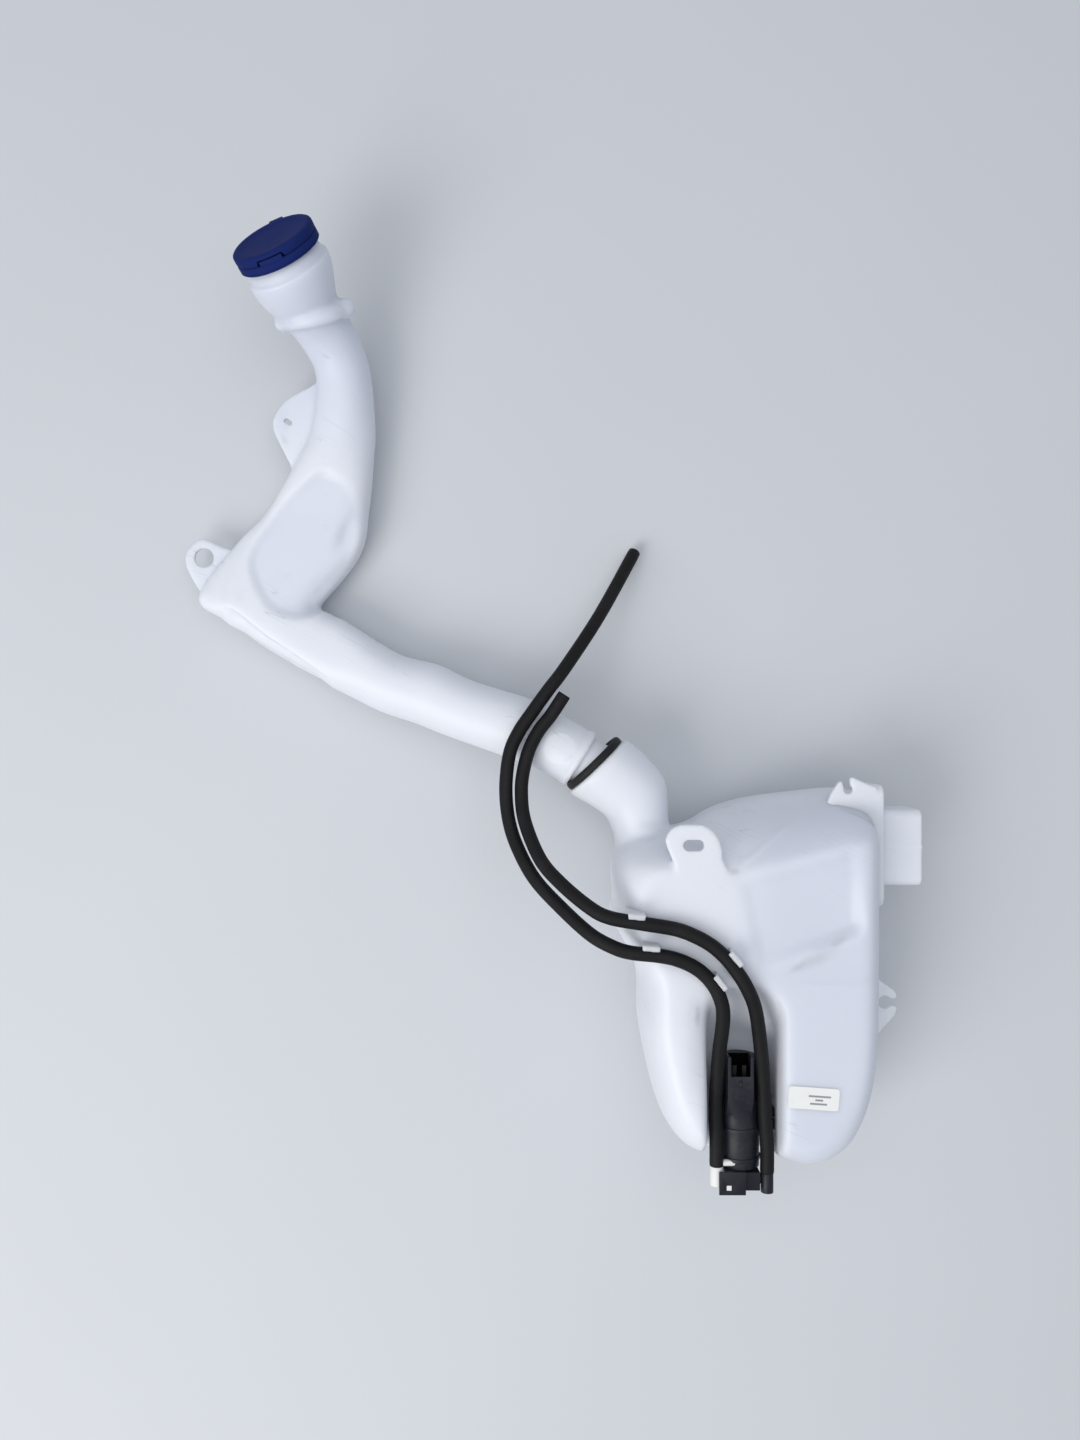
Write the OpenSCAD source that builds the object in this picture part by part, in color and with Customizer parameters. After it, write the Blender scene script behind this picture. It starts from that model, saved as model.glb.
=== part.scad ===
// Washer fluid reservoir, lying on its back: a blow-moulded tank with an elbow neck, a bent filler tube with
// a hinged cap, a two-outlet pump in a valley of the tank front, and the two hoses that leave the pump.
// Frame: millimetres, +Z up from the back of the tank to its front, +Y from the pump end to the filler end.
// The origin is the middle of the tank's flat back.

/* [Tank] */
// Height of the front face above the back
tank_depth = 96; // [88:1:104]
// Wall of the blow-moulded pieces
wall = 2; // [1.6:0.1:2.4]
// Height of the mould parting plane above the back
parting_z = 46; // [42:1:50]
// Share of the way from the middle to the edge that stays flat
flat_share = 0.77; // [0.7:0.01:0.82]
// Roundness of the edges, 2 for an ellipse and more for a squarer edge
edge_power = 2.3; // [2:0.1:3]
// Depth of the pump valley below the front face
valley_depth = 40; // [36:1:44]
// Lean of the valley's gentle side and of its head, over the valley's depth
valley_lean = 8; // [6:0.5:10]
// Depth of the recessed panel at its outer end
panel_drop = 6; // [4:0.5:8]
// Fall of the shoulder toward the neck end, for each unit of length
shoulder_slope = 1; // [0.8:0.05:1.2]

/* [Tank mounts] */
// Thickness of the strap lug
lug_t = 4; // [3:0.5:6]
// Radius of the strap lug's round corners
lug_r = 10.9; // [10:0.1:12]
// Length of the strap slot
lug_slot_l = 11.8; // [10.5:0.1:13]
// Width of the strap slot
lug_slot_w = 6.6; // [6:0.1:8]
// Thickness of the hook and of the fork
hook_t = 4; // [3:0.5:6]
// Radius of the round seat in the hook
hook_seat_r = 3.9; // [3.5:0.1:4.3]
// Width of the throat that opens the hook's seat
hook_throat = 4.4; // [3.8:0.1:5.8]
// Width of the fork's notch
fork_w = 5.4; // [4:0.1:6]
// Opening of the fork's notch
fork_throat = 4.2; // [3.4:0.1:4.6]
// Length of the guide block along the tank
guide_l = 45; // [38:1:50]
// Height of the guide block
guide_h = 36; // [30:1:42]
// Reach of the guide block past the rail
guide_reach = 24.5; // [20:0.5:28]

/* [Filler tube] */
// Angle of the filler head above the floor
head_tilt = 43; // [40:1:46]
// Radius of the spigot that enters the tank neck
spigot_r = 14.4; // [13.5:0.1:15]
// Radius of the bolt hole in the knee lug
knee_hole_r = 6.2; // [5.5:0.1:7]
// Radius of the knee lug
knee_lug_r = 12.2; // [11:0.1:13.5]
// Thickness of the web and of the knee lug
web_t = 3.4; // [2.6:0.2:5]
// Radius of the rubber seal's seat in the tank neck
seal_seat_r = 20; // [19:0.1:20.6]

/* [Cap] */
// Outer radius of the cap
cap_r = 25; // [24.6:0.1:26]
// Step from the cap's outside in to the filler rim
rim_step = 3; // [2.6:0.1:3.6]
// Height of the snap ring
ring_h = 5; // [4.6:0.1:6]
// Height of the lid above the ring
lid_h = 5.5; // [5:0.1:7]
// Wall of the cap pieces
cap_wall = 1.8; // [1.5:0.1:2.2]
// Width of the hinge notch
hinge_w = 17; // [14:0.5:19]

/* [Pump] */
// Radius of the pump housing
motor_r = 11.5; // [11.2:0.1:12]
// Length of the pump from the valve block to the top of the plug socket
pump_l = 79; // [77:1:82]
// Radius of the inlet nozzle
inlet_r = 5; // [4.6:0.1:5.4]
// Outer radius of the grommet's flange
grommet_r = 10.5; // [10:0.1:11.5]
// Radius of the motor shaft
shaft_r = 1; // [0.9:0.05:1.2]
// Radial clearance of the shaft in its bushes
shaft_clearance = 0.05; // [0.02:0.01:0.08]
// Clearance between the parts that only sit together
seat_gap = 0.15; // [0.1:0.05:0.25]

/* [Hoses] */
// Outer diameter of the hoses
hose_d = 8; // [7:0.1:8.4]
// Bore of the hoses
hose_bore = 5; // [4.8:0.1:5.4]

/* [Hidden] */

$fn = 48;
eps = 0.01;

// Parting-plane outline of the tank without its neck, counterclockwise
tank_outline = [[73, 0], [73, 50], [73, 92], [69, 104], [56, 109], [30, 107], [0, 103], [-20, 97], [-36, 88],
    [-54, 84], [-72, 79], [-81, 68], [-82, 55], [-81, 43], [-83, 34], [-76, 20], [-68, 4], [-66, -10],
    [-66, -28], [-62, -52], [-55, -78], [-46, -94], [-35, -102], [-20, -105], [0, -105], [12, -105],
    [21, -108], [31, -110], [43, -107], [54, -99], [63, -84], [69, -64], [72, -38]];
front_shares = [1, 0.99, 0.965, 0.93, 0.88, 0.82, 0.76, 0.55, 0.35];
back_shares = [0.3, 0.76, 0.82, 0.88, 0.93, 0.965, 0.99];

// Corners of the recessed panel, counterclockwise, each with its share of the panel's depth
panel = [[-11, 58, 0.2], [-2, 13, 0.5], [54, 32, 1], [51, 76, 0.7]];
panel_grow = 1.22;
// Height along Y at which the shoulder starts to fall, for places along X
shoulder_edge = [[-90, 65], [-12, 62], [48, 77], [90, 84]];
shoulder_soft = 7;

// Neck sections from the mouth into the tank: place, heading, half width, half height
neck_z = parting_z - 1;
mouth = [-91, 122.5, neck_z];
mouth_turn = 44;
neck_sections = [
    [mouth.x, mouth.y, neck_z, mouth_turn, 0, 24, 23], [-86, 119.5, neck_z, 44, 0, 23.6, 23.2],
    [-75, 111, neck_z, 37, 0, 22.6, 21.6], [-67, 102, neck_z, 31, 0, 21, 19.5],
    [-64.4, 89, neck_z, 17, 0, 17.8, 17.5], [-63.2, 75, neck_z, 8, 0, 16.5, 17],
    [-63, 58, neck_z, 0, 0, 16.5, 17]];
seal_depth = 12;
seat_depth = seal_depth + 1;
seal_lip_t = 4.5;
seal_lift = 0.05;
// Widening of the seal's bore through its lip, for the bent end of the filler tube
seal_flare = 3.7;
mouth_axis = [-sin(mouth_turn), cos(mouth_turn), 0];
// Section where the neck's inside meets the seal's seat
throat_r = seal_seat_r - 0.4 + wall;
neck_throat = concat(mouth - (seat_depth - 0.4) * mouth_axis, [mouth_turn, 0, throat_r, throat_r]);

// Filler head, measured along its axis from the underside of the cap ring
cap_seat = [-274, 417.5, 80];
head_turn = 28;
head_axis = [-sin(head_turn) * cos(head_tilt), cos(head_turn) * cos(head_tilt), sin(head_tilt)];
rim_up = ring_h - 1.2;
rim_r = cap_r - rim_step;
bulge_r = rim_r + 2;
tube_r = 17.4;
head_side = [cos(head_turn), sin(head_turn), 0];
function head_section(up, r, aside = 0) =
    concat(cap_seat + up * head_axis + aside * head_side, [head_turn, head_tilt, r, r]);

// Filler sections from the cap to the spigot: place, heading, pitch, half width, half height
knee_h = 18;
filler_sections = [
    head_section(rim_up, rim_r), head_section(0, rim_r), head_section(-3, bulge_r),
    head_section(-11, bulge_r + 1.2, 0.3), head_section(-21, tube_r + 6, -0.4),
    head_section(-30, tube_r + 2.6, -0.4), head_section(-38, tube_r + 0.2, -0.2),
    [-254, 383, 40, 14, 35, tube_r, tube_r], [-247, 365, 30, 8, 20, 16.8, 17],
    [-248, 333, 23, 5, 6, 20, 18], [-255, 311, 20, 11, 2, 26, 18], [-265, 281, 18, 4, 0, 32, knee_h],
    [-277, 257, 18, -5, 0, 38, knee_h], [-302, 224, 18, -5, 0, 37, knee_h], [-294, 216, 18, 6, 0, 30, knee_h],
    [-285, 210, 18, 19, 0, 26, knee_h], [-272, 202, 18, 38, 0, 22, knee_h],
    [-259, 195, 18.5, 52, 0, 21, 18.5],
    [-234, 181, 20.5, 58, 0, 19.3, 18.7], [-217, 172.5, 23, 67, 0, 19, 18.7],
    [-195, 166, 26, 67, 0, 19.8, 18.7],
    [-174, 157, 29, 66, 0, 19, 18.5], [-138, 145, 34, 65, 0, 19.6, 18.5], [-122, 138, 37, 62, 0, 18.4, 18.2],
    [-100, 126, 41.5, 58, 0, 17.7, 17.7]];
// The spigot turns from the tube's end to the axis of the neck
spigot_in = 14;
spigot_sections = [
    [-99.4, 125.7, 41.7, 58, 0, spigot_r, spigot_r], [-95.4, 124.3, 43.4, 52, 0, spigot_r, spigot_r],
    concat(mouth, [mouth_turn, 0, spigot_r, spigot_r]),
    concat(mouth - spigot_in * mouth_axis, [mouth_turn, 0, spigot_r, spigot_r])];
section_sides = 20;

// Oval flange round the tube under the filler head
flange_at = [-259, 391, 57];
flange_turn = 13;
flange_tilt = 30;
flange_t = 8;
flange_r = 20.5;
flange_reach = 23.5;
flange_ear_r = 6;
web_outline = [[-240, 358], [-254, 366], [-264.5, 361.5], [-269.3, 358.3], [-276, 355], [-285, 349],
    [-291, 340], [-292.4, 334], [-289, 325], [-280, 307], [-278, 298], [-262, 300], [-250, 330]];
web_z = 23;
web_slot = [-282.4, 336.2];
web_slot_l = 5.6;
web_slot_w = 3.2;
knee_hole = [-336.5, 252];
knee_lug_z = 18;

// Cap details
cap_top = ring_h + lid_h;
hinge_turn = -105;
hinge_out = cap_r - 0.7;
hinge_notch_r = 3.3;
strap_r = 2.6;
strap_t = 1;
lid_gap = 0.1;
skirt_r = rim_r - wall - 0.9;
skirt_down = 6;
skirt_t = 1.4;
tab_w = 9;
tab_out = 2.2;
tab_drop = 0.3;
tab_t = 2;

// Height of the pump's axis on the valley floor, and of the hose nozzles
valley_floor_z = tank_depth - valley_depth;
stand_off = 4.5;
pump_z = valley_floor_z + stand_off + motor_r;
nozzle_z = 9;
hose_z = pump_z + nozzle_z;

// Hose routes from the pump to the bare end, chosen by hand: first on the nozzles, then over the tank with
// heights from its front face, then beyond it with heights from the floor
function from_front(route) = [for (p = route) p + [0, 0, tank_depth]];
hose_front_route = concat([[-24, -105, hose_z], [-24, -90, hose_z], [-24.5, -75, hose_z]],
    from_front([[-24.2, -58, -12.6], [-23.8, -37, -6], [-23.2, -26, -1.8], [-22.9, -15.5, 1.6],
        [-24, -7.6, 3.5], [-27.4, 0.6, 4.3], [-32.8, 7.7, 4.4], [-40, 13.2, 4.4], [-49.4, 17.2, 4.4],
        [-59, 19.2, 4.4], [-75, 21, 4.4], [-85, 24, 3.2], [-97, 30, -2]]),
    [[-113, 43, 84], [-128, 58, 75], [-138, 75, 67], [-143.4, 91, 62], [-145.2, 110, 60], [-143, 130, 60],
        [-137.5, 143, 60], [-129.3, 155, 59.6], [-120.4, 167.4, 57], [-109.5, 182, 50], [-88, 215, 31],
        [-64.5, 257.5, 6]]);
hose_rear_route = concat([[5, -109, hose_z], [5, -94, hose_z], [4, -80, hose_z]],
    from_front([[3, -64, -14], [1, -43, -10], [-4, -14, -1], [-10, 1, 4], [-17, 12, 4.4], [-23, 19, 4.4],
        [-30, 25, 4.4], [-39, 30, 4.4], [-50, 34, 4.4], [-68, 37, 4.4], [-86, 40, 3], [-97, 45, 0]]),
    [[-113, 57, 86], [-125, 70, 77], [-134, 91, 67], [-136, 108, 61], [-134.6, 121, 60],
        [-131, 133.6, 60], [-125.4, 144, 60], [-118.4, 153, 60], [-110.5, 165, 60]]);
hose_sides = 10;
// Retaining tabs: place on the hose and heading of the hose there
hose_tabs = [[-72, 37.4, -5], [-20, 15.5, -49], [-64, 20, -5], [-28.6, 2.6, -52]];
tab_l = 10;
tab_hook = 1.7;
tab_foot = 15;

// Pump places, from its valve end at pump_y
hose_r = hose_d / 2;
pump_x = (hose_front_route[0].x + hose_rear_route[0].x) / 2;
valley_end = -140;
pump_y = -120;
inlet_at = 28;
grommet_t = 2.5;
grommet_neck_r = inlet_r + 3.2;
grommet_inner_r = grommet_neck_r + 1;
strainer_l = 12;
housing_from = 17;
housing_to = pump_l - 5;
socket_w = 14.6;
socket_t = 11;
socket_wall = 1.3;
socket_lip = 1.8;
socket_floor = pump_l - 15;
socket_cut = 11;
socket_x = -1.8;
motor_bore_r = motor_r - 1.35;
sleeve_wall = 1.3;
block_h = 13;
block_front = 14;
apron_w = 3.4;
apron_t = 1.1;
valve_bore_r = 4.2;
valve_at = [-6, 6.5];
split_x = 1.5;
left_x = hose_front_route[0].x - pump_x + hose_r + 0.3;
right_x = hose_rear_route[0].x - pump_x - hose_r - 0.3;
plug_l = 6;
nub = 2.8;
nub_at = [left_x + 0.8, 2.5];
barb_r = hose_bore / 2 * cos(180 / hose_sides) - seat_gap;
barb_l = 14;
elbow_r = hose_r - 0.4;
elbow_bore_r = 1.8;
elbow_l = 11;
plate_at = 34;
plate_t = 2;
yoke_r = motor_bore_r - seat_gap;
yoke_wall = 0.8;
yoke_from = plate_at + plate_t + 1;
yoke_headroom = 12.5;
yoke_to = housing_to - yoke_headroom;
bush_r = 2.5;
brush_at = yoke_to + seat_gap;
core_from = yoke_from + 5;
core_l = yoke_to - 6.5 - core_from;
core_r = yoke_r - yoke_wall - 2.4;
magnet_in = core_r + 0.5;
commutator_r = 2.8;
impeller_from = 24;
impeller_r = motor_bore_r - seat_gap - sleeve_wall - 0.9;

// Label on the right lobe
label_size = [28.5, 12.4];
label_at = [28, -61.5];
label_turn = -4;
label_t = 0.3;

function mix(a, b, t) = a + (b - a) * t;
function spline(a, b, c, d, t) =
    0.5 * (2 * b + (c - a) * t + (2 * a - 5 * b + 4 * c - d) * t * t + (3 * b - a - 3 * c + d) * t * t * t);
function closed_curve(p, n) = let (m = len(p))
    [for (i = [0:m - 1], k = [0:n - 1])
        spline(p[(i + m - 1) % m], p[i], p[(i + 1) % m], p[(i + 2) % m], k / n)];
function open_curve(p, n) = let (m = len(p) - 1)
    concat([for (i = [0:m - 1], k = [0:n - 1])
        spline(p[max(0, i - 1)], p[i], p[i + 1], p[min(m, i + 2)], k / n)], [p[m]]);
function reversed(p) = [for (i = [len(p) - 1:-1:0]) p[i]];
function middle(ring) = [for (i = [0:2]) [for (p = ring) 1 / len(ring)] * [for (p = ring) p[i]]];

// Triangles of the band between two rings of m points, from point i and point j on
function band(i, j, m) = [for (k = [0:m - 1]) each
    [[i + k, j + k, j + (k + 1) % m], [i + k, j + (k + 1) % m, i + (k + 1) % m]]];

// Closed skin over a row of rings, each with the same number of points: its two ends are closed by a flat
// fan, or, as a loop, the last ring joins the first
module skin(rings, loop = false) {
    m = len(rings[0]);
    last = len(rings) - 1;
    bands = [for (i = [0:last - 1]) each band(i * m, (i + 1) * m, m)];
    points = [for (ring = rings) each ring];
    ends = [middle(rings[0]), middle(rings[last])];
    caps = [for (k = [0:m - 1]) each
        [[len(points), k, (k + 1) % m], [len(points) + 1, last * m + (k + 1) % m, last * m + k]]];
    if (loop) polyhedron(points, concat(bands, band(last * m, 0, m)));
    else polyhedron(concat(points, ends), concat(bands, caps));
}

// Ring of a section: an oval whose width lies level and whose height leans forward by the pitch
function section_ring(s, inset) = let (w = [cos(s[3]), sin(s[3]), 0],
        h = [sin(s[4]) * w.y, -sin(s[4]) * w.x, cos(s[4])])
    [for (k = [0:section_sides - 1]) let (a = 360 * k / section_sides)
        [s.x, s.y, s.z] + (s[5] - inset) * cos(a) * w + (s[6] - inset) * sin(a) * h];
function section_rings(sections, inset) = [for (s = sections) section_ring(s, inset)];

// Guide rail: its place, thickness and size
rail_x = 69;
rail_t = 6.5;
rail_size = [71.4, 50];
// Shelf at the corner: its height, its outline past the tank, and the fork plate on it
shelf_z = parting_z + rail_size.y / 2;
shelf_outline = [[69.4, 80], [67.8, 86], [65.4, 89.6], [61.6, 92.8], [56.6, 95.2], [51, 97.2], [46, 99.6],
    [41, 105], [38, 125], [90, 125], [90, 80]];
fork_at = [54.6, 109.6];
fork_lean = 1.2;
fork_outline = [[42.4, 102], [44.6, 107], [49, 113.6], [50.4, 114.4], [51.2, 113.8], [55.4, 116.8],
    [57.6, 116.4], [66, 112.6],
    [rail_x + 2, 111], [rail_x + 2, 86], [60, 90]];
// Rounding of the tank from its flat middle to the parting plane
function crown(s) = s <= flat_share ? 1 :
    pow(1 - pow((s - flat_share) / (1 - flat_share), edge_power), 1 / edge_power);
// Height of the tank front: the face, less the shoulder that falls toward the neck end
function front_z(x, y) = let (t = max(0, y - lookup(x, shoulder_edge)))
    tank_depth - shoulder_slope * t * t / (t + shoulder_soft);

function front_ring(outline, s, inset) = [for (p = outline) [p.x * s, p.y * s,
    mix(parting_z, front_z(p.x * s, p.y * s) - inset, crown(s))]];
function back_ring(outline, s, inset) =
    [for (p = outline) [p.x * s, p.y * s, mix(parting_z, inset, crown(s))]];

// The tank's round body, shrunk by a wall on the inside
module tank_body(inset) {
    outline = [for (p = closed_curve(tank_outline, 2)) p * (1 - 1.1 * inset / norm(p))];
    skin(concat([for (s = back_shares) back_ring(outline, s, inset)],
        [for (s = front_shares) front_ring(outline, s, inset)]));
}

// Space of the pump valley, grown by a wall on the inside of the tank: a stack of outlines with a round head
// that slopes up to the front, open at the pump end. Each row has the height, the left and right sides and
// the head.
function valley_rows(grow) = let (low = valley_floor_z - grow)
    [[low, -26.5, 7.5, -38], [low + 1.4, -28.3, 9.3, -35], [low + 5, -29, 10.2, -31],
        [tank_depth - 5, -22.5 - valley_lean, 11.2, -10.5 + valley_lean],
        [tank_depth - 1, -25 - valley_lean, 12.4, -6.5 + valley_lean],
        [tank_depth + 0.5, -30 - valley_lean, 14.5, -2 + valley_lean],
        [tank_depth + 20, -30 - valley_lean, 14.5, -2 + valley_lean]];
function valley_ring(row, grow) = let (left = row[1] - grow, right = row[2] + grow, head = row[3] + grow,
        r = (right - left) * 0.42)
    concat([[right, valley_end, row[0]]],
        [for (a = [0:15:90]) [right - r + r * cos(a), head - r + r * sin(a), row[0]]],
        [for (a = [90:15:180]) [left + r + r * cos(a), head - r + r * sin(a), row[0]]],
        [[left, valley_end, row[0]]]);
module valley_space(grow) { skin([for (row = valley_rows(grow)) valley_ring(row, grow)]); }

// Space over the shelf at the corner of the tank, level with the top of the rail
module shelf_space(grow) {
    translate([0, 0, shelf_z - grow]) linear_extrude(tank_depth) offset(delta = grow) polygon(shelf_outline);
}

// Space of the recessed panel, whose floor falls toward the side of the tank
module panel_space(grow) {
    mid = [for (i = [0:1]) (panel[0][i] + panel[1][i] + panel[2][i] + panel[3][i]) / 4];
    floor_ring = [for (p = panel) [p.x, p.y, tank_depth - grow - panel_drop * p.z]];
    top_ring = [for (p = panel) concat(mid + ([p.x, p.y] - mid) * panel_grow, [tank_depth + 2 - grow])];
    skin([floor_ring, top_ring]);
}

module at_mouth() { translate(mouth) rotate([-90, 0, mouth_turn]) children(); }
module at_cap() { translate(cap_seat) rotate([head_tilt - 90, 0, head_turn]) children(); }
module at_pump() { translate([pump_x, pump_y, pump_z]) rotate([-90, 0, 0]) children(); }
module at_inlet() { at_pump() translate([0, 0, inlet_at]) rotate([-90, 0, 0]) children(); }
module tube(outer, inner, h) {
    difference() {
        cylinder(r = outer, h = h);
        translate([0, 0, -1]) cylinder(r = inner, h = h + 2);
    }
}
module slot2d(l, w) {
    square([l - w, w], center = true);
    for (s = [-1, 1]) translate([s * (l - w) / 2, 0]) circle(d = w);
}
module rounded2d(size, r) {
    square([size.x, size.y - 2 * r], center = true);
    square([size.x - 2 * r, size.y], center = true);
    for (x = [-1, 1], y = [-1, 1]) translate([x * (size.x / 2 - r), y * (size.y / 2 - r)]) circle(r);
}

// Strap lug that stands up from the upper edge of the front face
lug_slot_at = [-39.1, 79.8];
lug_corner = [4.7, 0.8];
lug_foot = 54;
module strap_lug() {
    translate([0, 0, tank_depth + 0.4 - lug_t]) linear_extrude(lug_t) difference() {
        union() {
            for (s = [-1, 1]) translate(lug_slot_at + [s * lug_corner.x, lug_corner.y]) circle(lug_r);
            translate(lug_slot_at + [-lug_corner.x, lug_corner.y]) square([2 * lug_corner.x, lug_r]);
            polygon([lug_slot_at + [-lug_corner.x - lug_r, lug_corner.y], [lug_slot_at.x - 4.4, lug_foot],
                [lug_slot_at.x + 25, lug_foot], [lug_slot_at.x + 17.6, lug_foot + 13],
                lug_slot_at + [lug_corner.x + lug_r, lug_corner.y]]);
        }
        translate(lug_slot_at) slot2d(lug_slot_l, lug_slot_w);
    }
}

// Side hook with a round seat that opens outward
hook_at = [83, -20.4];
module side_hook() {
    translate([hook_at.x, hook_at.y, parting_z - hook_t / 2]) linear_extrude(hook_t) difference() {
        polygon([[-16, 16], [-4, 14], [6, 7], [7, 4], [7, -4], [6, -8], [-4, -19], [-16, -21]]);
        circle(hook_seat_r);
        translate([0, -hook_throat / 2]) square([12, hook_throat]);
    }
}

// Fork plate level with the top of the rail, with a notch that opens toward the neck end
module top_fork() {
    translate([0, 0, shelf_z - hook_t]) linear_extrude(hook_t) difference() {
        polygon(fork_outline);
        translate(fork_at) {
            circle(d = fork_w);
            translate([fork_lean - fork_throat, 0]) square([fork_throat, fork_w * 2]);
        }
    }
}

// Guide rail along the side and the hollow block that slides into the vehicle's bracket, and the thin
// parting flange between the rail and the hook
guide_y = 74.6;
rail_y = 76.4;
flash_t = 1.6;
flash_w = 15;
flash_ends = [-10, 60];
module parting_flange() {
    translate([rail_x - 4, flash_ends[0], parting_z - flash_t / 2])
        cube([flash_w, flash_ends[1] - flash_ends[0], flash_t]);
}
module guide_prism(x, y, l, size, r) {
    translate([x, y, parting_z]) rotate([90, 0, 90]) linear_extrude(l) rounded2d(size, r);
}
module guide_outside() {
    guide_prism(rail_x, rail_y, rail_t, rail_size, 6);
    guide_prism(rail_x, guide_y, rail_t + guide_reach, [guide_l, guide_h], 5);
}
module guide_inside() {
    guide_prism(rail_x - 8, guide_y, 8 + rail_t + guide_reach - wall,
        [guide_l - 2 * wall, guide_h - 2 * wall], 3);
}

// Tab that hooks over a hose on the front face
module hose_tab(place) {
    lift = hose_d + 0.8;
    translate([place.x, place.y, tank_depth]) rotate([90, 0, place.z + 90]) translate([0, 0, -tab_l / 2])
        linear_extrude(tab_l)
            polygon([[hose_r + 0.5, -tab_foot], [hose_r + 0.5, lift], [hose_r - tab_hook, lift],
                [hose_r - tab_hook, lift + 0.6], [hose_r, lift + 1.6], [hose_r + 1.6, lift + 1.6],
                [hose_r + 3.2, lift - 1], [hose_r + 4, -tab_foot]]);
}

// Hollow of the tank: the body's inside, less the backs of the valley, the panel and the shelf
module tank_inside() {
    difference() {
        tank_body(wall);
        valley_space(wall);
        panel_space(wall);
        shelf_space(wall);
    }
    inner = concat([neck_throat], [for (i = [2:len(neck_sections) - 1]) neck_sections[i]]);
    skin(section_rings(open_curve(inner, 2), wall));
    at_mouth() translate([0, 0, -seat_depth]) cylinder(r = seal_seat_r, h = seat_depth + 1);
    guide_inside();
}
module tank() {
    color([0.9, 0.91, 0.92]) difference() {
        union() {
            difference() {
                tank_body(0);
                valley_space(0);
                panel_space(0);
                shelf_space(0);
            }
            skin(section_rings(open_curve(neck_sections, 2), 0));
            strap_lug();
            side_hook();
            top_fork();
            parting_flange();
            guide_outside();
            for (place = hose_tabs) hose_tab(place);
        }
        tank_inside();
        translate([pump_x, pump_y + inlet_at, valley_floor_z - 8]) cylinder(r = grommet_neck_r, h = 16);
    }
}

// Rubber ring between the spigot and the mouth of the neck, with a lip that rests on the mouth
module neck_seal() {
    bore = spigot_r + 2 * seat_gap;
    outer = seal_seat_r - seat_gap;
    color([0.09, 0.09, 0.1]) at_mouth() rotate_extrude()
        polygon([[bore, -seal_depth], [outer - 1, -seal_depth], [outer, -seal_depth + 2], [outer, seal_lift],
            [seal_seat_r + 1.4, seal_lift], [seal_seat_r + 1.4, seal_lip_t - 1.6], [seal_seat_r, seal_lip_t],
            [bore + seal_flare + 0.6, seal_lip_t], [bore + seal_flare, seal_lip_t - 0.6], [bore, -0.8]]);
}

module filler_flange() {
    translate(flange_at) rotate([flange_tilt - 90, 0, flange_turn]) translate([0, 0, -flange_t / 2])
        linear_extrude(flange_t) {
            circle(flange_r);
            slot2d(2 * flange_reach, 2 * flange_ear_r);
        }
}
module knee_lug() {
    translate([0, 0, knee_lug_z - web_t / 2]) linear_extrude(web_t) difference() {
        union() {
            translate(knee_hole) circle(knee_lug_r);
            polygon([[knee_hole.x, knee_hole.y + knee_lug_r], [-308, 252], [-322, 228], [-336, 227],
                [knee_hole.x - knee_lug_r, knee_hole.y]]);
        }
        translate(knee_hole) circle(knee_hole_r);
    }
}
module tube_web() {
    translate([0, 0, web_z - web_t / 2]) linear_extrude(web_t) difference() {
        polygon(web_outline);
        translate(web_slot) rotate(-33) slot2d(web_slot_l, web_slot_w);
    }
}
// The inside runs out past both ends
module filler_tube() {
    past_rim = head_section(rim_up + 1, rim_r);
    past_spigot = concat(mouth - (spigot_in + 1) * mouth_axis, [mouth_turn, 0, spigot_r, spigot_r]);
    color([0.92, 0.93, 0.94]) difference() {
        union() {
            skin(section_rings(concat(open_curve(filler_sections, 2), open_curve(spigot_sections, 2)), 0));
            filler_flange();
            knee_lug();
            tube_web();
        }
        skin(section_rings(concat([past_rim], filler_sections, spigot_sections, [past_spigot]), wall));
    }
}

// Snap ring on the filler rim, with the strap that carries the lid
module at_hinge() { rotate(hinge_turn) translate([hinge_out, 0, ring_h]) rotate([90, 0, 0]) children(); }
module cap_ring() {
    color([0.16, 0.18, 0.4]) at_cap() {
        rotate_extrude() polygon([[rim_r + seat_gap, 0], [cap_r, 0], [cap_r, ring_h], [rim_r - wall, ring_h],
            [rim_r - wall, rim_up], [rim_r + seat_gap, rim_up]]);
        intersection() {
            at_hinge() cylinder(r = strap_r, h = hinge_w - 2, center = true);
            translate([0, 0, ring_h - eps]) tube(cap_r, cap_r - strap_t, strap_r);
        }
    }
}

// Hinged lid with a rounded edge, a plug skirt and a lift tab
module cap_lid() {
    from = ring_h + lid_gap;
    color([0.16, 0.18, 0.4]) at_cap() difference() {
        union() {
            rotate_extrude() polygon([[0, cap_top], [cap_r - 1.6, cap_top], [cap_r - 0.5, cap_top - 0.5],
                [cap_r, cap_top - 1.6], [cap_r, from], [cap_r - cap_wall, from],
                [cap_r - cap_wall, cap_top - cap_wall], [skirt_r, cap_top - cap_wall],
                [skirt_r, from - skirt_down], [skirt_r - skirt_t, from - skirt_down],
                [skirt_r - skirt_t, cap_top - cap_wall], [0, cap_top - cap_wall]]);
            rotate(hinge_turn + 180) translate([cap_r - 1, -tab_w / 2, cap_top - tab_drop - tab_t])
                cube([1 + tab_out, tab_w, tab_t]);
        }
        at_hinge() cylinder(r = hinge_notch_r, h = hinge_w, center = true);
    }
}

module label() {
    color([0.95, 0.95, 0.93]) translate([label_at.x, label_at.y, tank_depth]) rotate(label_turn)
        linear_extrude(label_t) rounded2d(label_size, 0.8);
}

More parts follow.
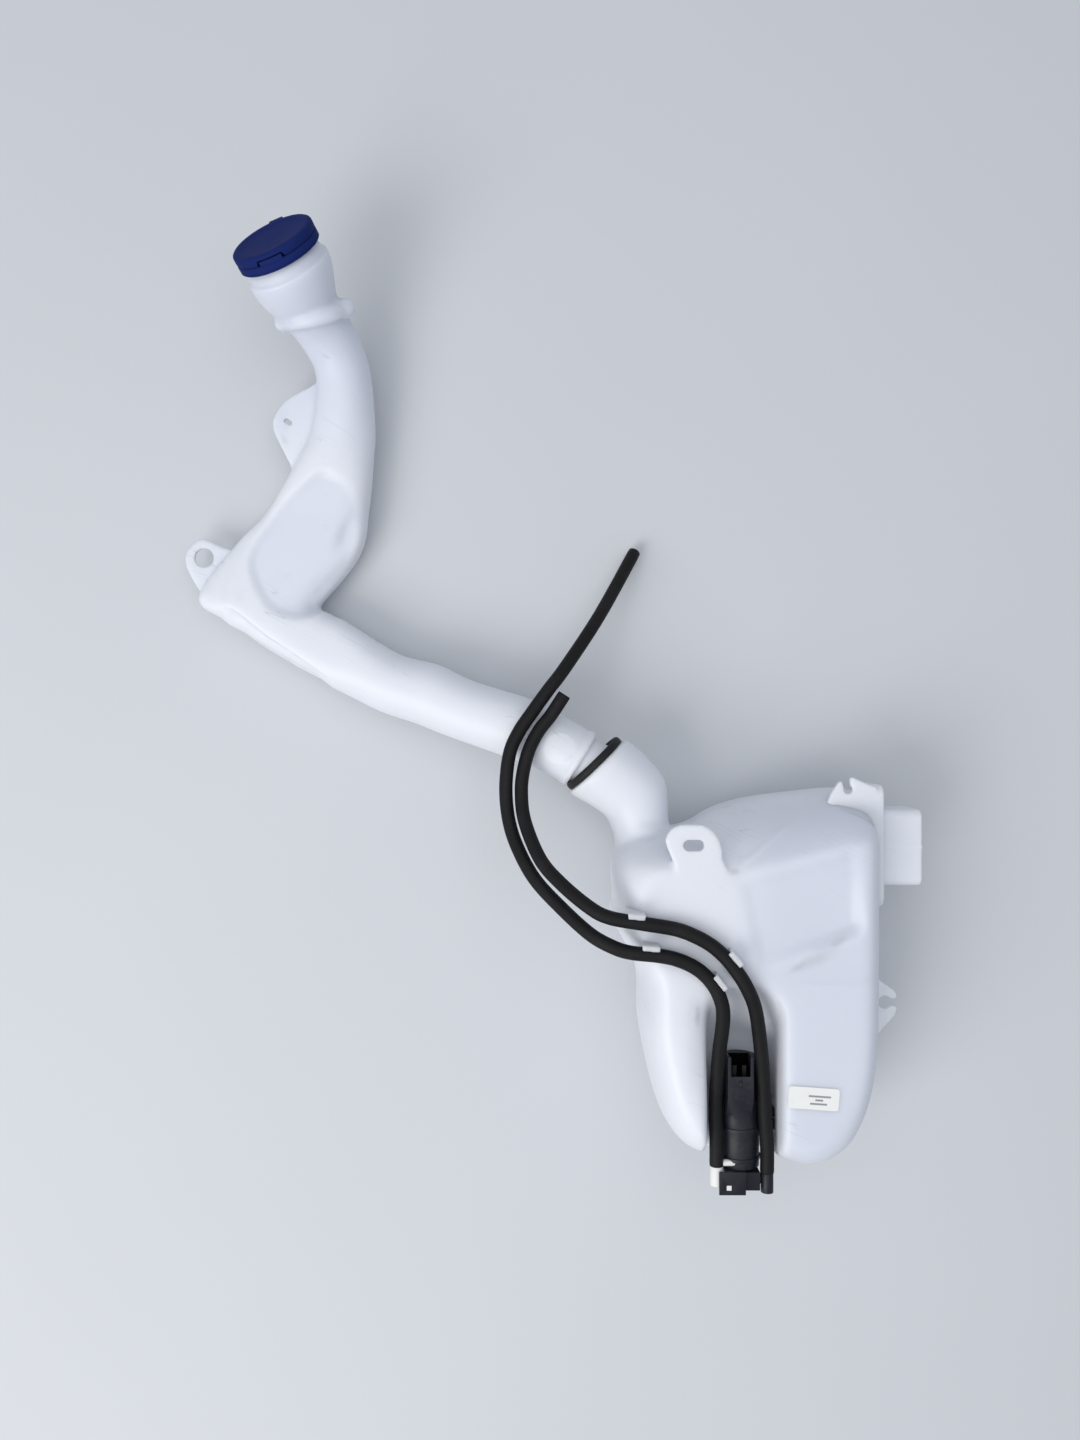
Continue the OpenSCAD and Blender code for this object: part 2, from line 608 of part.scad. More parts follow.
// Rubber grommet that holds the pump inlet in the valley floor
module pump_grommet() {
    top = motor_r + stand_off - grommet_t;
    floor_z = motor_r + stand_off;
    color([0.1, 0.1, 0.1]) at_inlet() rotate_extrude()
        polygon([[inlet_r, top], [grommet_r, top], [grommet_r, floor_z], [grommet_neck_r, floor_z],
            [grommet_neck_r, floor_z + wall], [grommet_inner_r, floor_z + wall],
            [grommet_neck_r, floor_z + wall + 3], [inlet_r, floor_z + wall + 3]]);
}

// Sieve cup pressed over the inner end of the inlet
strainer_from = motor_r + stand_off + wall + 3;
module inlet_strainer() {
    color([0.85, 0.85, 0.8]) at_inlet() difference() {
        translate([0, 0, strainer_from]) cylinder(r = inlet_r + 1.2, h = strainer_l);
        translate([0, 0, strainer_from - 1]) cylinder(r = inlet_r, h = strainer_l);
        for (k = [0:3]) rotate(45 * k) translate([-inlet_r - 2, -1, strainer_from + 5])
            cube([2 * inlet_r + 4, 2, strainer_l - 7]);
    }
}

// Housing: motor tube, inlet nozzle and the plug socket on the front side
module socket_body() {
    translate([socket_x - socket_w / 2, 0, 0]) rotate([90, 0, 90]) linear_extrude(socket_w)
        polygon([[-motor_r - 5, socket_floor - 8], [-motor_r - 5, pump_l], [-motor_r - 5 + socket_t, pump_l],
            [-motor_r - 5 + socket_t, socket_floor - 20], [-motor_r + 1, socket_floor - 20]]);
}
module socket_space() {
    front = -motor_r - 5;
    translate([socket_x - socket_w / 2 + socket_wall, front + socket_wall, socket_floor])
        cube([socket_w - 2 * socket_wall, socket_t - 2 * socket_wall, 30]);
    translate([socket_x - socket_w / 2 + socket_lip, front - 1, pump_l - socket_cut])
        cube([socket_w - 2 * socket_lip, 4, 30]);
}
module terminal_pair(grow) {
    y = -motor_r - 5 + socket_t / 2;
    for (s = [-1, 1]) translate([socket_x, 0, 0]) {
        translate([s * 2.8 - 1.2 - grow, y - 0.4 - grow, brush_at + plate_t])
            cube([2.4 + 2 * grow, 0.8 + 2 * grow, socket_floor + 9 - brush_at - plate_t]);
        translate([s * 2.8 - 1.2 - grow, y - 0.4 - grow, brush_at + plate_t])
            cube([2.4 + 2 * grow, 7 + grow, 0.8 + grow]);
    }
}
module pump_housing() {
    color([0.1, 0.1, 0.11]) difference() {
        union() {
            at_pump() {
                translate([0, 0, housing_from]) cylinder(r = motor_r, h = housing_to - housing_from);
                translate([0, 0, housing_to - eps]) cylinder(r1 = motor_r, r2 = motor_r - 1.6, h = 1.6);
                for (at = [housing_from, plate_at, plate_at + 16]) translate([0, 0, at])
                    cylinder(r = motor_r + 0.6, h = 2);
                socket_body();
            }
            at_inlet() {
                cylinder(r = inlet_r, h = motor_r + stand_off + wall + 8);
                cylinder(r = inlet_r + 3, h = motor_r + stand_off - grommet_t);
            }
        }
        at_pump() {
            translate([0, 0, housing_from - 1]) cylinder(r = motor_bore_r, h = housing_to - housing_from - 1);
            socket_space();
            terminal_pair(seat_gap);
        }
        at_inlet() cylinder(r = inlet_r - 1.6, h = 60);
    }
}

// Wall between the pump chamber and the motor
module chamber_plate() {
    color([0.2, 0.2, 0.2]) at_pump() translate([0, 0, plate_at])
        tube(motor_bore_r - seat_gap, bush_r, plate_t);
}

// Valve block under the motor: two stepped boxes, the chamber sleeve and the cross bore of the valve
module valve_bore(r, from, to) {
    translate([from, valve_at.x, valve_at.y]) rotate([0, 90, 0]) cylinder(r = r, h = to - from);
}
module valve_block() {
    sleeve_r = motor_bore_r - seat_gap;
    color([0.12, 0.12, 0.13]) at_pump() difference() {
        union() {
            translate([left_x, -block_front, 0]) cube([split_x - left_x, block_front + 2, block_h]);
            translate([left_x - apron_w, -block_front, 0]) cube([apron_w + 1, apron_t, block_h]);
            translate([split_x - 1, -block_front + 3, 1.4])
                cube([right_x - split_x + 1, block_front - 1, block_h - 2.8]);
            translate([0, 0, 3]) cylinder(r = motor_r - 3, h = block_h);
            translate([0, 0, block_h]) cylinder(r = motor_r, h = housing_from - block_h);
            translate([0, 0, housing_from - eps]) cylinder(r = sleeve_r, h = plate_at - housing_from);
        }
        translate([0, 0, housing_from + 4]) cylinder(r = sleeve_r - sleeve_wall, h = plate_at);
        valve_bore(valve_bore_r, left_x - 1, right_x + 1);
        translate([0, valve_at.x + 1, valve_at.y]) cylinder(r = 1.6, h = 20);
        translate([nub_at.x - seat_gap, -block_front - 1, nub_at.y - seat_gap])
            cube([nub + 2 * seat_gap, block_front + valve_at.x, nub + 2 * seat_gap]);
        rotate([-90, 0, 0]) translate([0, -inlet_at, 0]) cylinder(r = inlet_r - 1.6, h = 30);
    }
}

// Outlet elbow: a plug in the valve bore, a cross pipe and an upright nozzle for the hose
module outlet(x, y, face, side) {
    inner = face - side * plug_l;
    bore_end = face - side * 5 * plug_l;
    at_pump() difference() {
        union() {
            translate([x, -nozzle_z, y - elbow_l]) cylinder(r = elbow_r, h = elbow_l);
            translate([x, -nozzle_z, y - eps]) cylinder(r = barb_r, h = barb_l);
            valve_bore(3, min(x, face), max(x, face));
            valve_bore(valve_bore_r - seat_gap, min(face, inner), max(face, inner));
        }
        translate([x, -nozzle_z, y - elbow_l + 2]) cylinder(r = elbow_bore_r, h = 40);
        valve_bore(elbow_bore_r, min(x, bore_end), max(x, bore_end));
    }
}
module front_outlet() {
    color([0.9, 0.9, 0.88]) {
        outlet(hose_front_route[0].x - pump_x, hose_front_route[0].y - pump_y, left_x, -1);
        at_pump() translate([nub_at.x, -block_front + 0.3, nub_at.y])
            cube([nub, block_front + valve_at.x - 3, nub]);
    }
}
module rear_outlet() {
    color([0.1, 0.1, 0.1]) outlet(hose_rear_route[0].x - pump_x, hose_rear_route[0].y - pump_y, right_x, 1);
}
module valve_diaphragm() {
    color([0.25, 0.25, 0.25]) at_pump() valve_bore(valve_bore_r - seat_gap, -0.5, 0.5);
}

// Impeller with a back plate and straight vanes
module impeller() {
    color([0.85, 0.85, 0.8]) at_pump() translate([0, 0, impeller_from]) difference() {
        union() {
            cylinder(r = 2.8, h = 7);
            translate([0, 0, 6]) cylinder(r = impeller_r, h = 1.2);
            for (k = [0:5]) rotate(60 * k) translate([0, -0.5, 0.5]) cube([impeller_r - 0.4, 1, 6]);
        }
        translate([0, 0, -1]) cylinder(r = shaft_r, h = 10);
    }
}
module motor_shaft() {
    color([0.7, 0.7, 0.72]) at_pump() translate([0, 0, impeller_from])
        cylinder(r = shaft_r, h = brush_at + plate_t + 3.4 - impeller_from);
}
module shaft_seal() {
    color([0.1, 0.1, 0.1]) at_pump() translate([0, 0, plate_at])
        tube(bush_r, shaft_r + shaft_clearance, plate_t);
}
module motor_yoke() {
    color([0.6, 0.6, 0.62]) at_pump() translate([0, 0, yoke_from]) difference() {
        cylinder(r = yoke_r, h = yoke_to - yoke_from);
        translate([0, 0, 1]) cylinder(r = yoke_r - yoke_wall, h = 40);
        translate([0, 0, -1]) cylinder(r = bush_r, h = 4);
    }
}
module lower_bush() {
    color([0.7, 0.55, 0.3]) at_pump() translate([0, 0, plate_at + plate_t])
        tube(bush_r, shaft_r + shaft_clearance, 3);
}
module field_magnets() {
    color([0.25, 0.25, 0.27]) at_pump() translate([0, 0, core_from]) linear_extrude(core_l) difference() {
        circle(yoke_r - yoke_wall);
        circle(magnet_in);
        square([40, 7], center = true);
    }
}
module armature_core() {
    color([0.5, 0.5, 0.52]) at_pump() translate([0, 0, core_from]) linear_extrude(core_l) difference() {
        circle(core_r);
        for (k = [0:2]) rotate(120 * k) translate([core_r - 2.6, -0.9]) square([4, 1.8]);
        circle(shaft_r);
    }
}
module armature_windings() {
    color([0.72, 0.4, 0.2]) at_pump() for (at = [core_from - 2.4, core_from + core_l])
        translate([0, 0, at]) tube(core_r - 0.8, shaft_r, 2.4);
}
module commutator() {
    color([0.75, 0.5, 0.3]) at_pump() translate([0, 0, core_from + core_l + 2.4])
        tube(commutator_r, shaft_r, brush_at - core_from - core_l - 2.9);
}
module brush_plate() {
    color([0.3, 0.25, 0.2]) at_pump() translate([0, 0, brush_at]) difference() {
        union() {
            cylinder(r = motor_bore_r - seat_gap, h = plate_t);
            cylinder(r = bush_r + 1.4, h = plate_t + 3);
        }
        translate([0, 0, -1]) cylinder(r = bush_r, h = 10);
    }
}
module upper_bush() {
    color([0.7, 0.55, 0.3]) at_pump() translate([0, 0, brush_at])
        tube(bush_r, shaft_r + shaft_clearance, plate_t + 3);
}
module brushes() {
    color([0.15, 0.15, 0.15]) at_pump() for (s = [-1, 1])
        translate([s * (commutator_r + 2.3) - 2, -1.2, brush_at - 3]) cube([4, 2.4, 3]);
}
module terminals() {
    color([0.8, 0.75, 0.6]) at_pump() terminal_pair(0);
}

// Hose: a round tube carried along its route, each ring square to the way it runs there
function heading(p, i) = let (d = p[min(i + 1, len(p) - 1)] - p[max(i - 1, 0)]) d / norm(d);
function hose_ring(p, i, r) = let (t = heading(p, i), side = cross(t, [0, 0, 1]),
        w = side / norm(side), h = cross(w, t))
    [for (k = [0:hose_sides - 1]) let (a = 360 * k / hose_sides) p[i] + r * (cos(a) * w - sin(a) * h)];
module hose(route) {
    outer = [for (i = [0:len(route) - 1]) hose_ring(route, i, hose_r)];
    inner = [for (i = [0:len(route) - 1]) hose_ring(route, i, hose_bore / 2)];
    color([0.12, 0.12, 0.12]) skin(concat(outer, reversed(inner)), true);
}
module hose_front() { hose(hose_front_route); }
module hose_rear() { hose(hose_rear_route); }

tank();
neck_seal();
filler_tube();
cap_ring();
cap_lid();
label();
pump_grommet();
inlet_strainer();
pump_housing();
chamber_plate();
valve_block();
front_outlet();
rear_outlet();
valve_diaphragm();
impeller();
motor_shaft();
shaft_seal();
motor_yoke();
field_magnets();
armature_core();
armature_windings();
commutator();
lower_bush();
upper_bush();
brush_plate();
brushes();
terminals();
hose_front();
hose_rear();
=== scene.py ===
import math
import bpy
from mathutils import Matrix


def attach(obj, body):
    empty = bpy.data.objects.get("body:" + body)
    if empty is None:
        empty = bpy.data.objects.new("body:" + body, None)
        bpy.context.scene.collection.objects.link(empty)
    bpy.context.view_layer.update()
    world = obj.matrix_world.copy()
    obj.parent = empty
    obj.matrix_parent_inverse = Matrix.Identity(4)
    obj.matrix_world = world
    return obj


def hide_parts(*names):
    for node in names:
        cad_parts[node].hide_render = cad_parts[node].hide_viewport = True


bl_info = {
    "name": "Washer fluid reservoir",
    "version": (1, 0, 0),
    "blender": (4, 5, 0),
    "location": "View3D > Sidebar > Reservoir",
    "description": "Dresses the packed washer fluid reservoir: moulded skins, hoses, pump, cap and finishes",
    "category": "Object",
}

import bmesh
import bpy
import numpy as np
from bpy.props import FloatProperty, FloatVectorProperty, IntProperty, PointerProperty
from mathutils import Matrix, Vector

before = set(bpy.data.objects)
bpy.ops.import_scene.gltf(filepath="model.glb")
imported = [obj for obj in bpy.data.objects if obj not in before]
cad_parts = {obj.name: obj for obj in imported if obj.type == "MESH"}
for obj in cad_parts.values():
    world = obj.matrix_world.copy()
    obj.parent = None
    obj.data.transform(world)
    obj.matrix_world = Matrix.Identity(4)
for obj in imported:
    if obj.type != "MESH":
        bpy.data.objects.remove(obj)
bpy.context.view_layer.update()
MM = 0.001

# Stage: camera, floor and area lights with place, target, size, power and tint
SENSOR = 36.0
FOCAL_SHARE = 1081.0 / 1440.0
CAMERA_AT = (-0.125, 0.150, 0.700)
FLOOR_HALF = 4.0
FLOOR_Z = -0.0002
LIGHTS = [("key", (-1.15, -0.8, 1.35), (-0.1, 0.12, 0.0), 1.1, 19.0, (1.0, 0.98, 0.95)),
          ("sky", (-0.1, 0.5, 2.2), (-0.1, 0.15, 0.0), 2.6, 20.0, (0.95, 0.97, 1.0))]

# Routes of the hoses from the pump to the bare end, in millimetres as in the part's source
HOSE_FRONT = [(-24, -105, 81), (-24, -90, 81), (-24.5, -75, 81), (-24.2, -58, 83.4), (-23.8, -37, 90),
              (-23.2, -26, 94.2), (-22.9, -15.5, 97.6), (-24, -7.6, 99.5), (-27.4, 0.6, 100.3),
              (-32.8, 7.7, 100.4), (-40, 13.2, 100.4), (-49.4, 17.2, 100.4), (-59, 19.2, 100.4),
              (-75, 21, 100.4), (-85, 24, 99.2), (-97, 30, 94), (-113, 43, 84), (-128, 58, 75),
              (-138, 75, 67), (-143.4, 91, 62), (-145.2, 110, 60), (-143, 130, 60), (-137.5, 143, 60),
              (-129.3, 155, 59.6), (-120.4, 167.4, 57), (-109.5, 182, 50), (-88, 215, 31),
              (-64.5, 257.5, 6)]
HOSE_REAR = [(5, -109, 81), (5, -94, 81), (4, -80, 81), (3, -64, 82), (1, -43, 86), (-4, -14, 95),
             (-10, 1, 100), (-17, 12, 100.4), (-23, 19, 100.4), (-30, 25, 100.4), (-39, 30, 100.4),
             (-50, 34, 100.4), (-68, 37, 100.4), (-86, 40, 99), (-97, 45, 96), (-113, 57, 86),
             (-125, 70, 77), (-134, 91, 67), (-136, 108, 61), (-134.6, 121, 60), (-131, 133.6, 60),
             (-125.4, 144, 60), (-118.4, 153, 60), (-110.5, 165, 60)]

# Parting outline of the tank, counterclockwise, and the sections of its neck from the mouth inward
TANK_OUTLINE = [(73, 0), (73, 50), (73, 92), (69, 104), (56, 109), (30, 107), (0, 103), (-20, 97),
                (-36, 88), (-54, 84), (-72, 79), (-81, 68), (-82, 55), (-81, 43), (-83, 34), (-76, 20),
                (-68, 4), (-66, -10), (-66, -28), (-62, -52), (-55, -78), (-46, -94), (-35, -102),
                (-20, -105), (0, -105), (12, -105), (21, -108), (31, -110), (43, -107), (54, -99),
                (63, -84), (69, -64), (72, -38)]
TANK_DEPTH = 96.0
PARTING_Z = 46.0
FLAT_SHARE = 0.77
EDGE_POWER = 2.3
VALLEY_FLOOR = 56.0
VALLEY_END = -140.0
SHELF_Z = 71.0
SHELF_OUTLINE = [(69.4, 80), (67.8, 86), (65.4, 89.6), (61.6, 92.8), (56.6, 95.2), (51, 97.2), (46, 99.6),
                 (41, 105), (38, 125), (90, 125), (90, 80)]
HOOK_AT = (83.0, -20.4)
HOOK_SEAT_R = 3.9
HOOK_T = 4.0
FORK_AT = (54.6, 109.6)
FORK_NOTCH_R = 2.7
TAB_SPOTS = [(-72, 37.4, -5), (-20, 15.5, -49), (-64, 20, -5), (-28.6, 2.6, -52)]
LUG_SLOT = (-39.1, 79.8)
LUG_OUTLINE = [(-54.6, 81), (-53.3, 86.8), (-49.7, 90.2), (-45.3, 91.5), (-39, 91.6), (-33, 91),
               (-28.2, 88), (-24.8, 83.3), (-23.2, 78), (-22.5, 72), (-20, 66), (-14, 55), (-24, 52),
               (-43, 53), (-48.8, 67)]
LABEL_AT = (28.0, -61.5)
LABEL_TURN = -4.0
MOUTH = (-91.0, 122.5, 45.0)
MOUTH_TURN = 44.0
NECK_SECTIONS = [(-91, 122.5, 45, 44, 0, 24, 23), (-86, 119.5, 45, 44, 0, 23.6, 23.2),
                 (-75, 111, 45, 37, 0, 22.6, 21.6), (-67, 102, 45, 31, 0, 21, 19.5),
                 (-64.4, 89, 45, 17, 0, 17.8, 17.5), (-63.2, 75, 45, 8, 0, 16.5, 17),
                 (-63, 58, 45, 0, 0, 16.5, 17)]

# Cap frame: seat, turn about the vertical and tilt of the head above the floor
CAP_SEAT = (-274.0, 417.5, 80.0)
HEAD_TURN = 28.0
HEAD_TILT = 43.0
CAP_FRAME = (CAP_SEAT, HEAD_TURN, HEAD_TILT)
HINGE_SIDE = -105.0
CAP_R = 25.0
RIM_R = 22.0
TUBE_R = 17.4


def along(seat, turn, tilt, up, aside=0.0):
    """Point at a distance up the axis that leans by tilt and turn from a seat, and aside along its level
    axis."""
    a = math.radians(turn)
    t = math.radians(tilt)
    axis = np.array([-math.sin(a) * math.cos(t), math.cos(a) * math.cos(t), math.sin(t)])
    return np.array(seat) + up * axis + aside * np.array([math.cos(a), math.sin(a), 0.0])


def head_section(up, r, aside=0.0):
    """Round section of the filler head, up along the head's axis from the seat of the cap."""
    return tuple(along(CAP_SEAT, HEAD_TURN, HEAD_TILT, up, aside)) + (HEAD_TURN, HEAD_TILT, r, r)


FILLER_SECTIONS = [
    head_section(3.8, RIM_R), head_section(0, RIM_R), head_section(-3, RIM_R + 2),
    head_section(-11, RIM_R + 3.2, 0.3), head_section(-21, TUBE_R + 6, -0.4),
    head_section(-30, TUBE_R + 2.6, -0.4), head_section(-38, TUBE_R + 0.2, -0.2),
    (-254, 383, 40, 14, 35, 17.4, 17.4), (-247, 365, 30, 8, 20, 16.8, 17), (-248, 333, 23, 5, 6, 20, 18),
    (-255, 311, 20, 11, 2, 26, 18), (-265, 281, 18, 4, 0, 32, 18), (-277, 257, 18, -5, 0, 38, 18),
    (-302, 224, 18, -5, 0, 37, 18), (-294, 216, 18, 6, 0, 30, 18), (-285, 210, 18, 19, 0, 26, 18),
    (-272, 202, 18, 38, 0, 22, 18), (-259, 195, 18.5, 52, 0, 21, 18.5), (-234, 181, 20.5, 58, 0, 19.3, 18.7),
    (-217, 172.5, 23, 67, 0, 19, 18.7), (-195, 166, 26, 67, 0, 19.8, 18.7), (-174, 157, 29, 66, 0, 19, 18.5),
    (-138, 145, 34, 65, 0, 19.6, 18.5), (-122, 138, 37, 62, 0, 18.4, 18.2),
    (-100, 126, 41.5, 58, 0, 17.7, 17.7)]
SPIGOT_R = 14.4
SPIGOT_SECTIONS = [
    (-101, 126.5, 41.2, 58, 0, SPIGOT_R, SPIGOT_R), (-95.4, 124.3, 43.4, 52, 0, SPIGOT_R, SPIGOT_R),
    MOUTH + (MOUTH_TURN, 0, SPIGOT_R, SPIGOT_R),
    tuple(along(MOUTH, MOUTH_TURN, 0, -14)) + (MOUTH_TURN, 0, SPIGOT_R, SPIGOT_R)]
FLANGE_FRAME = ((-259.0, 391.0, 57.0), 13.0, 30.0)
WEB_OUTLINE = [(-240, 358), (-254, 366), (-264.5, 361.5), (-269.3, 358.3), (-276, 355), (-285, 349),
               (-291, 340), (-292.4, 334), (-289, 325), (-280, 307), (-278, 298), (-262, 300), (-250, 330)]
WEB_SLOT = (-282.4, 336.2)
KNEE_HOLE = (-336.5, 252.0)
KNEE_LUG = [(-336.5, 264.2), (-327, 260), (-316, 256), (-304, 250), (-318, 226), (-334, 226), (-345, 240),
            (-348.7, 252), (-344, 261)]
KNEE_MIDDLE = (-268.0, 256.0)
GROOVE_LINE = [(-322, 214), (-312, 207), (-292, 191), (-275, 180), (-262, 171), (-250, 165)]
KNEE_PANEL = [(-260.5, 302.8), (-273, 294), (-284, 284.3), (-297.5, 266.4), (-304.3, 252.9),
              (-304.9, 244.9), (-301.8, 233.2), (-297.5, 225.2), (-292, 217.8), (-282.7, 212.8),
              (-272.2, 211.6), (-261, 217), (-246, 238), (-238, 262), (-236, 279), (-238.5, 289),
              (-244, 297), (-252, 302.5)]


class ReservoirSizes(bpy.types.PropertyGroup):
    """Sizes of the dressed pieces that a user would change."""
    hose_diameter: FloatProperty(name="Hose diameter", description="Outside of the rubber hoses",
                                 default=0.008, min=0.006, max=0.01, unit="LENGTH")
    hose_bore: FloatProperty(name="Hose bore", description="Inside of the rubber hoses",
                             default=0.005, min=0.003, max=0.006, unit="LENGTH")
    hose_sides: IntProperty(name="Hose sides", description="Sides of the round hoses",
                            default=28, min=12, max=48)
    tank_cell: FloatProperty(name="Tank cell", description="Cell of the tank's skin",
                             default=0.0013, min=0.001, max=0.003, unit="LENGTH")
    plate_cell: FloatProperty(name="Plate cell", description="Cell of the skin of the tank's lugs and rails",
                              default=0.0006, min=0.0004, max=0.0015, unit="LENGTH")
    filler_cell: FloatProperty(name="Filler cell", description="Cell of the filler tube's skin",
                               default=0.00095, min=0.0008, max=0.003, unit="LENGTH")
    edge_round: FloatProperty(name="Edge rounding", description="Rounded edges of the moulded black pieces",
                              default=0.0004, min=0.0001, max=0.001, unit="LENGTH")
    turn_steps: IntProperty(name="Turned steps", description="Steps round the turned pieces",
                            default=144, min=48, max=256)


class ReservoirColours(bpy.types.PropertyGroup):
    """Colours of the finishes."""
    natural: FloatVectorProperty(name="Natural plastic", description="Milky unpainted plastic", size=4,
                                 subtype="COLOR", default=(0.80, 0.82, 0.87, 1.0), min=0.0, max=1.0)
    # Painted shade tone: the milky plastic turns toward this cooler darker colour where a piece's thin share
    # is high.
    natural_shaded: FloatVectorProperty(name="Shaded plastic", description="Tone where the plastic is thin",
                                      size=4, subtype="COLOR", default=(0.66, 0.695, 0.785, 1.0),
                                      min=0.0, max=1.0)
    navy: FloatVectorProperty(name="Navy plastic", description="Cap and its ring", size=4,
                              subtype="COLOR", default=(0.010, 0.020, 0.115, 1.0), min=0.0, max=1.0)
    rubber: FloatVectorProperty(name="Black rubber", description="Hoses and seal", size=4,
                                subtype="COLOR", default=(0.007, 0.007, 0.008, 1.0), min=0.0, max=1.0)
    black: FloatVectorProperty(name="Black plastic", description="Pump and valve block", size=4,
                               subtype="COLOR", default=(0.007, 0.008, 0.014, 1.0), min=0.0, max=1.0)
    white: FloatVectorProperty(name="White plastic", description="Nozzle and impeller", size=4,
                               subtype="COLOR", default=(0.78, 0.78, 0.76, 1.0), min=0.0, max=1.0)
    # Dirt colour, which is also the colour of the painted shade marks along creases, steps and edges of the
    # milky plastic.
    dirt: FloatVectorProperty(name="Dirt", description="Smudges and dust", size=4,
                              subtype="COLOR", default=(0.33, 0.33, 0.34, 1.0), min=0.0, max=1.0)


# Surfaces


def turns(count):
    """Equal angles of one full turn."""
    return np.arange(count) * 2 * np.pi / count


def cubic(a, b, c, d, per):
    """Points on each span from b to c, on the cubic in t whose slopes there are half of c less a and half of
    d less b."""
    t = (np.arange(per) / per)[None, :, None]
    return 0.5 * (2 * b + (c - a) * t + (2 * a - 5 * b + 4 * c - d) * t ** 2
                  + (3 * b - a - 3 * c + d) * t ** 3)


def spline_rows(rows, per):
    """Smooth open curve through rows of numbers: a cubic on each span."""
    rows = np.asarray(rows, float)
    ends = np.vstack([rows[:1], rows, rows[-1:]])
    curve = cubic(*(ends[k:k + len(rows) - 1, None, :] for k in range(4)), per)
    return np.vstack([curve.reshape(-1, rows.shape[1]), rows[-1:]])


def spline_loop(points, per):
    """Smooth closed curve through points: a cubic on each span of the loop."""
    b = np.asarray(points, float)[:, None, :]
    curve = cubic(np.roll(b, 1, 0), b, np.roll(b, -1, 0), np.roll(b, -2, 0), per)
    return curve.reshape(-1, b.shape[2])


def ease(low, high, value):
    """Smooth step from 0 at low to 1 at high: t squared times three less two t."""
    t = np.clip((value - low) / (high - low), 0.0, 1.0)
    return t * t * (3.0 - 2.0 * t)


def section_grid(sections, sides, power=2.0):
    """Rows of rings: each ring is the centre plus half width times cosine along the level axis plus half
    height times sine along the leaning axis, with cosine and sine raised to two over the power."""
    s = np.asarray(sections, float)
    turn = np.radians(s[:, 3])
    pitch = np.radians(s[:, 4])
    wide = np.stack([np.cos(turn), np.sin(turn), 0 * turn], 1)
    high = np.stack([np.sin(pitch) * np.sin(turn), -np.sin(pitch) * np.cos(turn), np.cos(pitch)], 1)
    a = turns(sides)
    power = np.broadcast_to(np.asarray(power, float), (len(s),))[:, None]
    c = np.sign(np.cos(a)) * np.abs(np.cos(a)) ** (2 / power)
    d = np.sign(np.sin(a)) * np.abs(np.sin(a)) ** (2 / power)
    return (s[:, None, :3] + (s[:, 5:6] * c)[..., None] * wide[:, None, :]
            + (s[:, 6:7] * d)[..., None] * high[:, None, :])


def grid_faces(rows, columns, loop=False):
    """Quads between neighbouring rows of a grid whose columns close round, and between its last and first row
    when it is a loop."""
    row = np.arange(rows if loop else rows - 1)[:, None]
    col = np.arange(columns)[None, :]
    nxt = (row + 1) % rows
    east = (col + 1) % columns
    corners = [row * columns + col, row * columns + east, nxt * columns + east, nxt * columns + col]
    return np.stack(corners, -1).reshape(-1, 4)


def new_mesh(name, points, faces):
    """Mesh of points in millimetres and faces."""
    mesh = bpy.data.meshes.new(name)
    mesh.from_pydata((points * MM).tolist(), [], faces)
    mesh.update()
    return mesh


def grid_mesh(name, grid, loop=False):
    """Mesh of a grid in millimetres; unless it is a loop, each end row is closed by a fan to its middle."""
    rows, columns = grid.shape[:2]
    points = grid.reshape(-1, 3)
    faces = [tuple(f) for f in grid_faces(rows, columns, loop).tolist()]
    if not loop:
        points = np.vstack([points, grid[0].mean(0)[None], grid[-1].mean(0)[None]])
        first = np.arange(columns)
        after = (first + 1) % columns
        base = rows * columns
        last = (rows - 1) * columns
        faces += np.stack([np.full(columns, base), after, first], 1).tolist()
        faces += np.stack([np.full(columns, base + 1), last + first, last + after], 1).tolist()
    return new_mesh(name, points, faces)


def prism_mesh(name, outline, low, high):
    """Straight prism: the outline at two heights, joined by quads and closed by two flat faces."""
    outline = np.asarray(outline, float)
    count = len(outline)
    points = np.vstack([np.column_stack([outline, np.full(count, low)]),
                        np.column_stack([outline, np.full(count, high)])])
    i = np.arange(count)
    j = (i + 1) % count
    faces = np.stack([i, j, j + count, i + count], 1).tolist()
    faces += [i[::-1].tolist(), (i + count).tolist()]
    return new_mesh(name, points, faces)


def ray_outline(points, centre, count, per=6):
    """A closed outline read at equal angles about a centre: the radius of its spline, interpolated over
    angle."""
    curve = spline_loop(points, per) - np.asarray(centre)
    angle = np.unwrap(np.arctan2(curve[:, 1], curve[:, 0]))
    radius = np.hypot(curve[:, 0], curve[:, 1])
    order = np.argsort(np.mod(angle, 2 * np.pi))
    want = turns(count)
    r = np.interp(want, np.mod(angle, 2 * np.pi)[order], radius[order], period=2 * np.pi)
    return np.column_stack([np.cos(want) * r, np.sin(want) * r]) + np.asarray(centre)


def slot_outline(centre, length, width, turn, count):
    """A round-ended slot read at equal angles about its centre: at each angle the nearer of its straight
    sides and its round ends."""
    a = turns(count)
    b = a - math.radians(turn)
    half, r = (length - width) / 2, width / 2
    flat = r / np.maximum(np.abs(np.sin(b)), 1e-9)
    c = np.abs(np.cos(b))
    round_end = half * c + np.sqrt(np.maximum(r * r - (half * np.sin(b)) ** 2, 0.0))
    radius = np.where(flat * c <= half, flat, round_end)
    return np.column_stack([np.cos(a) * radius, np.sin(a) * radius]) + np.asarray(centre)


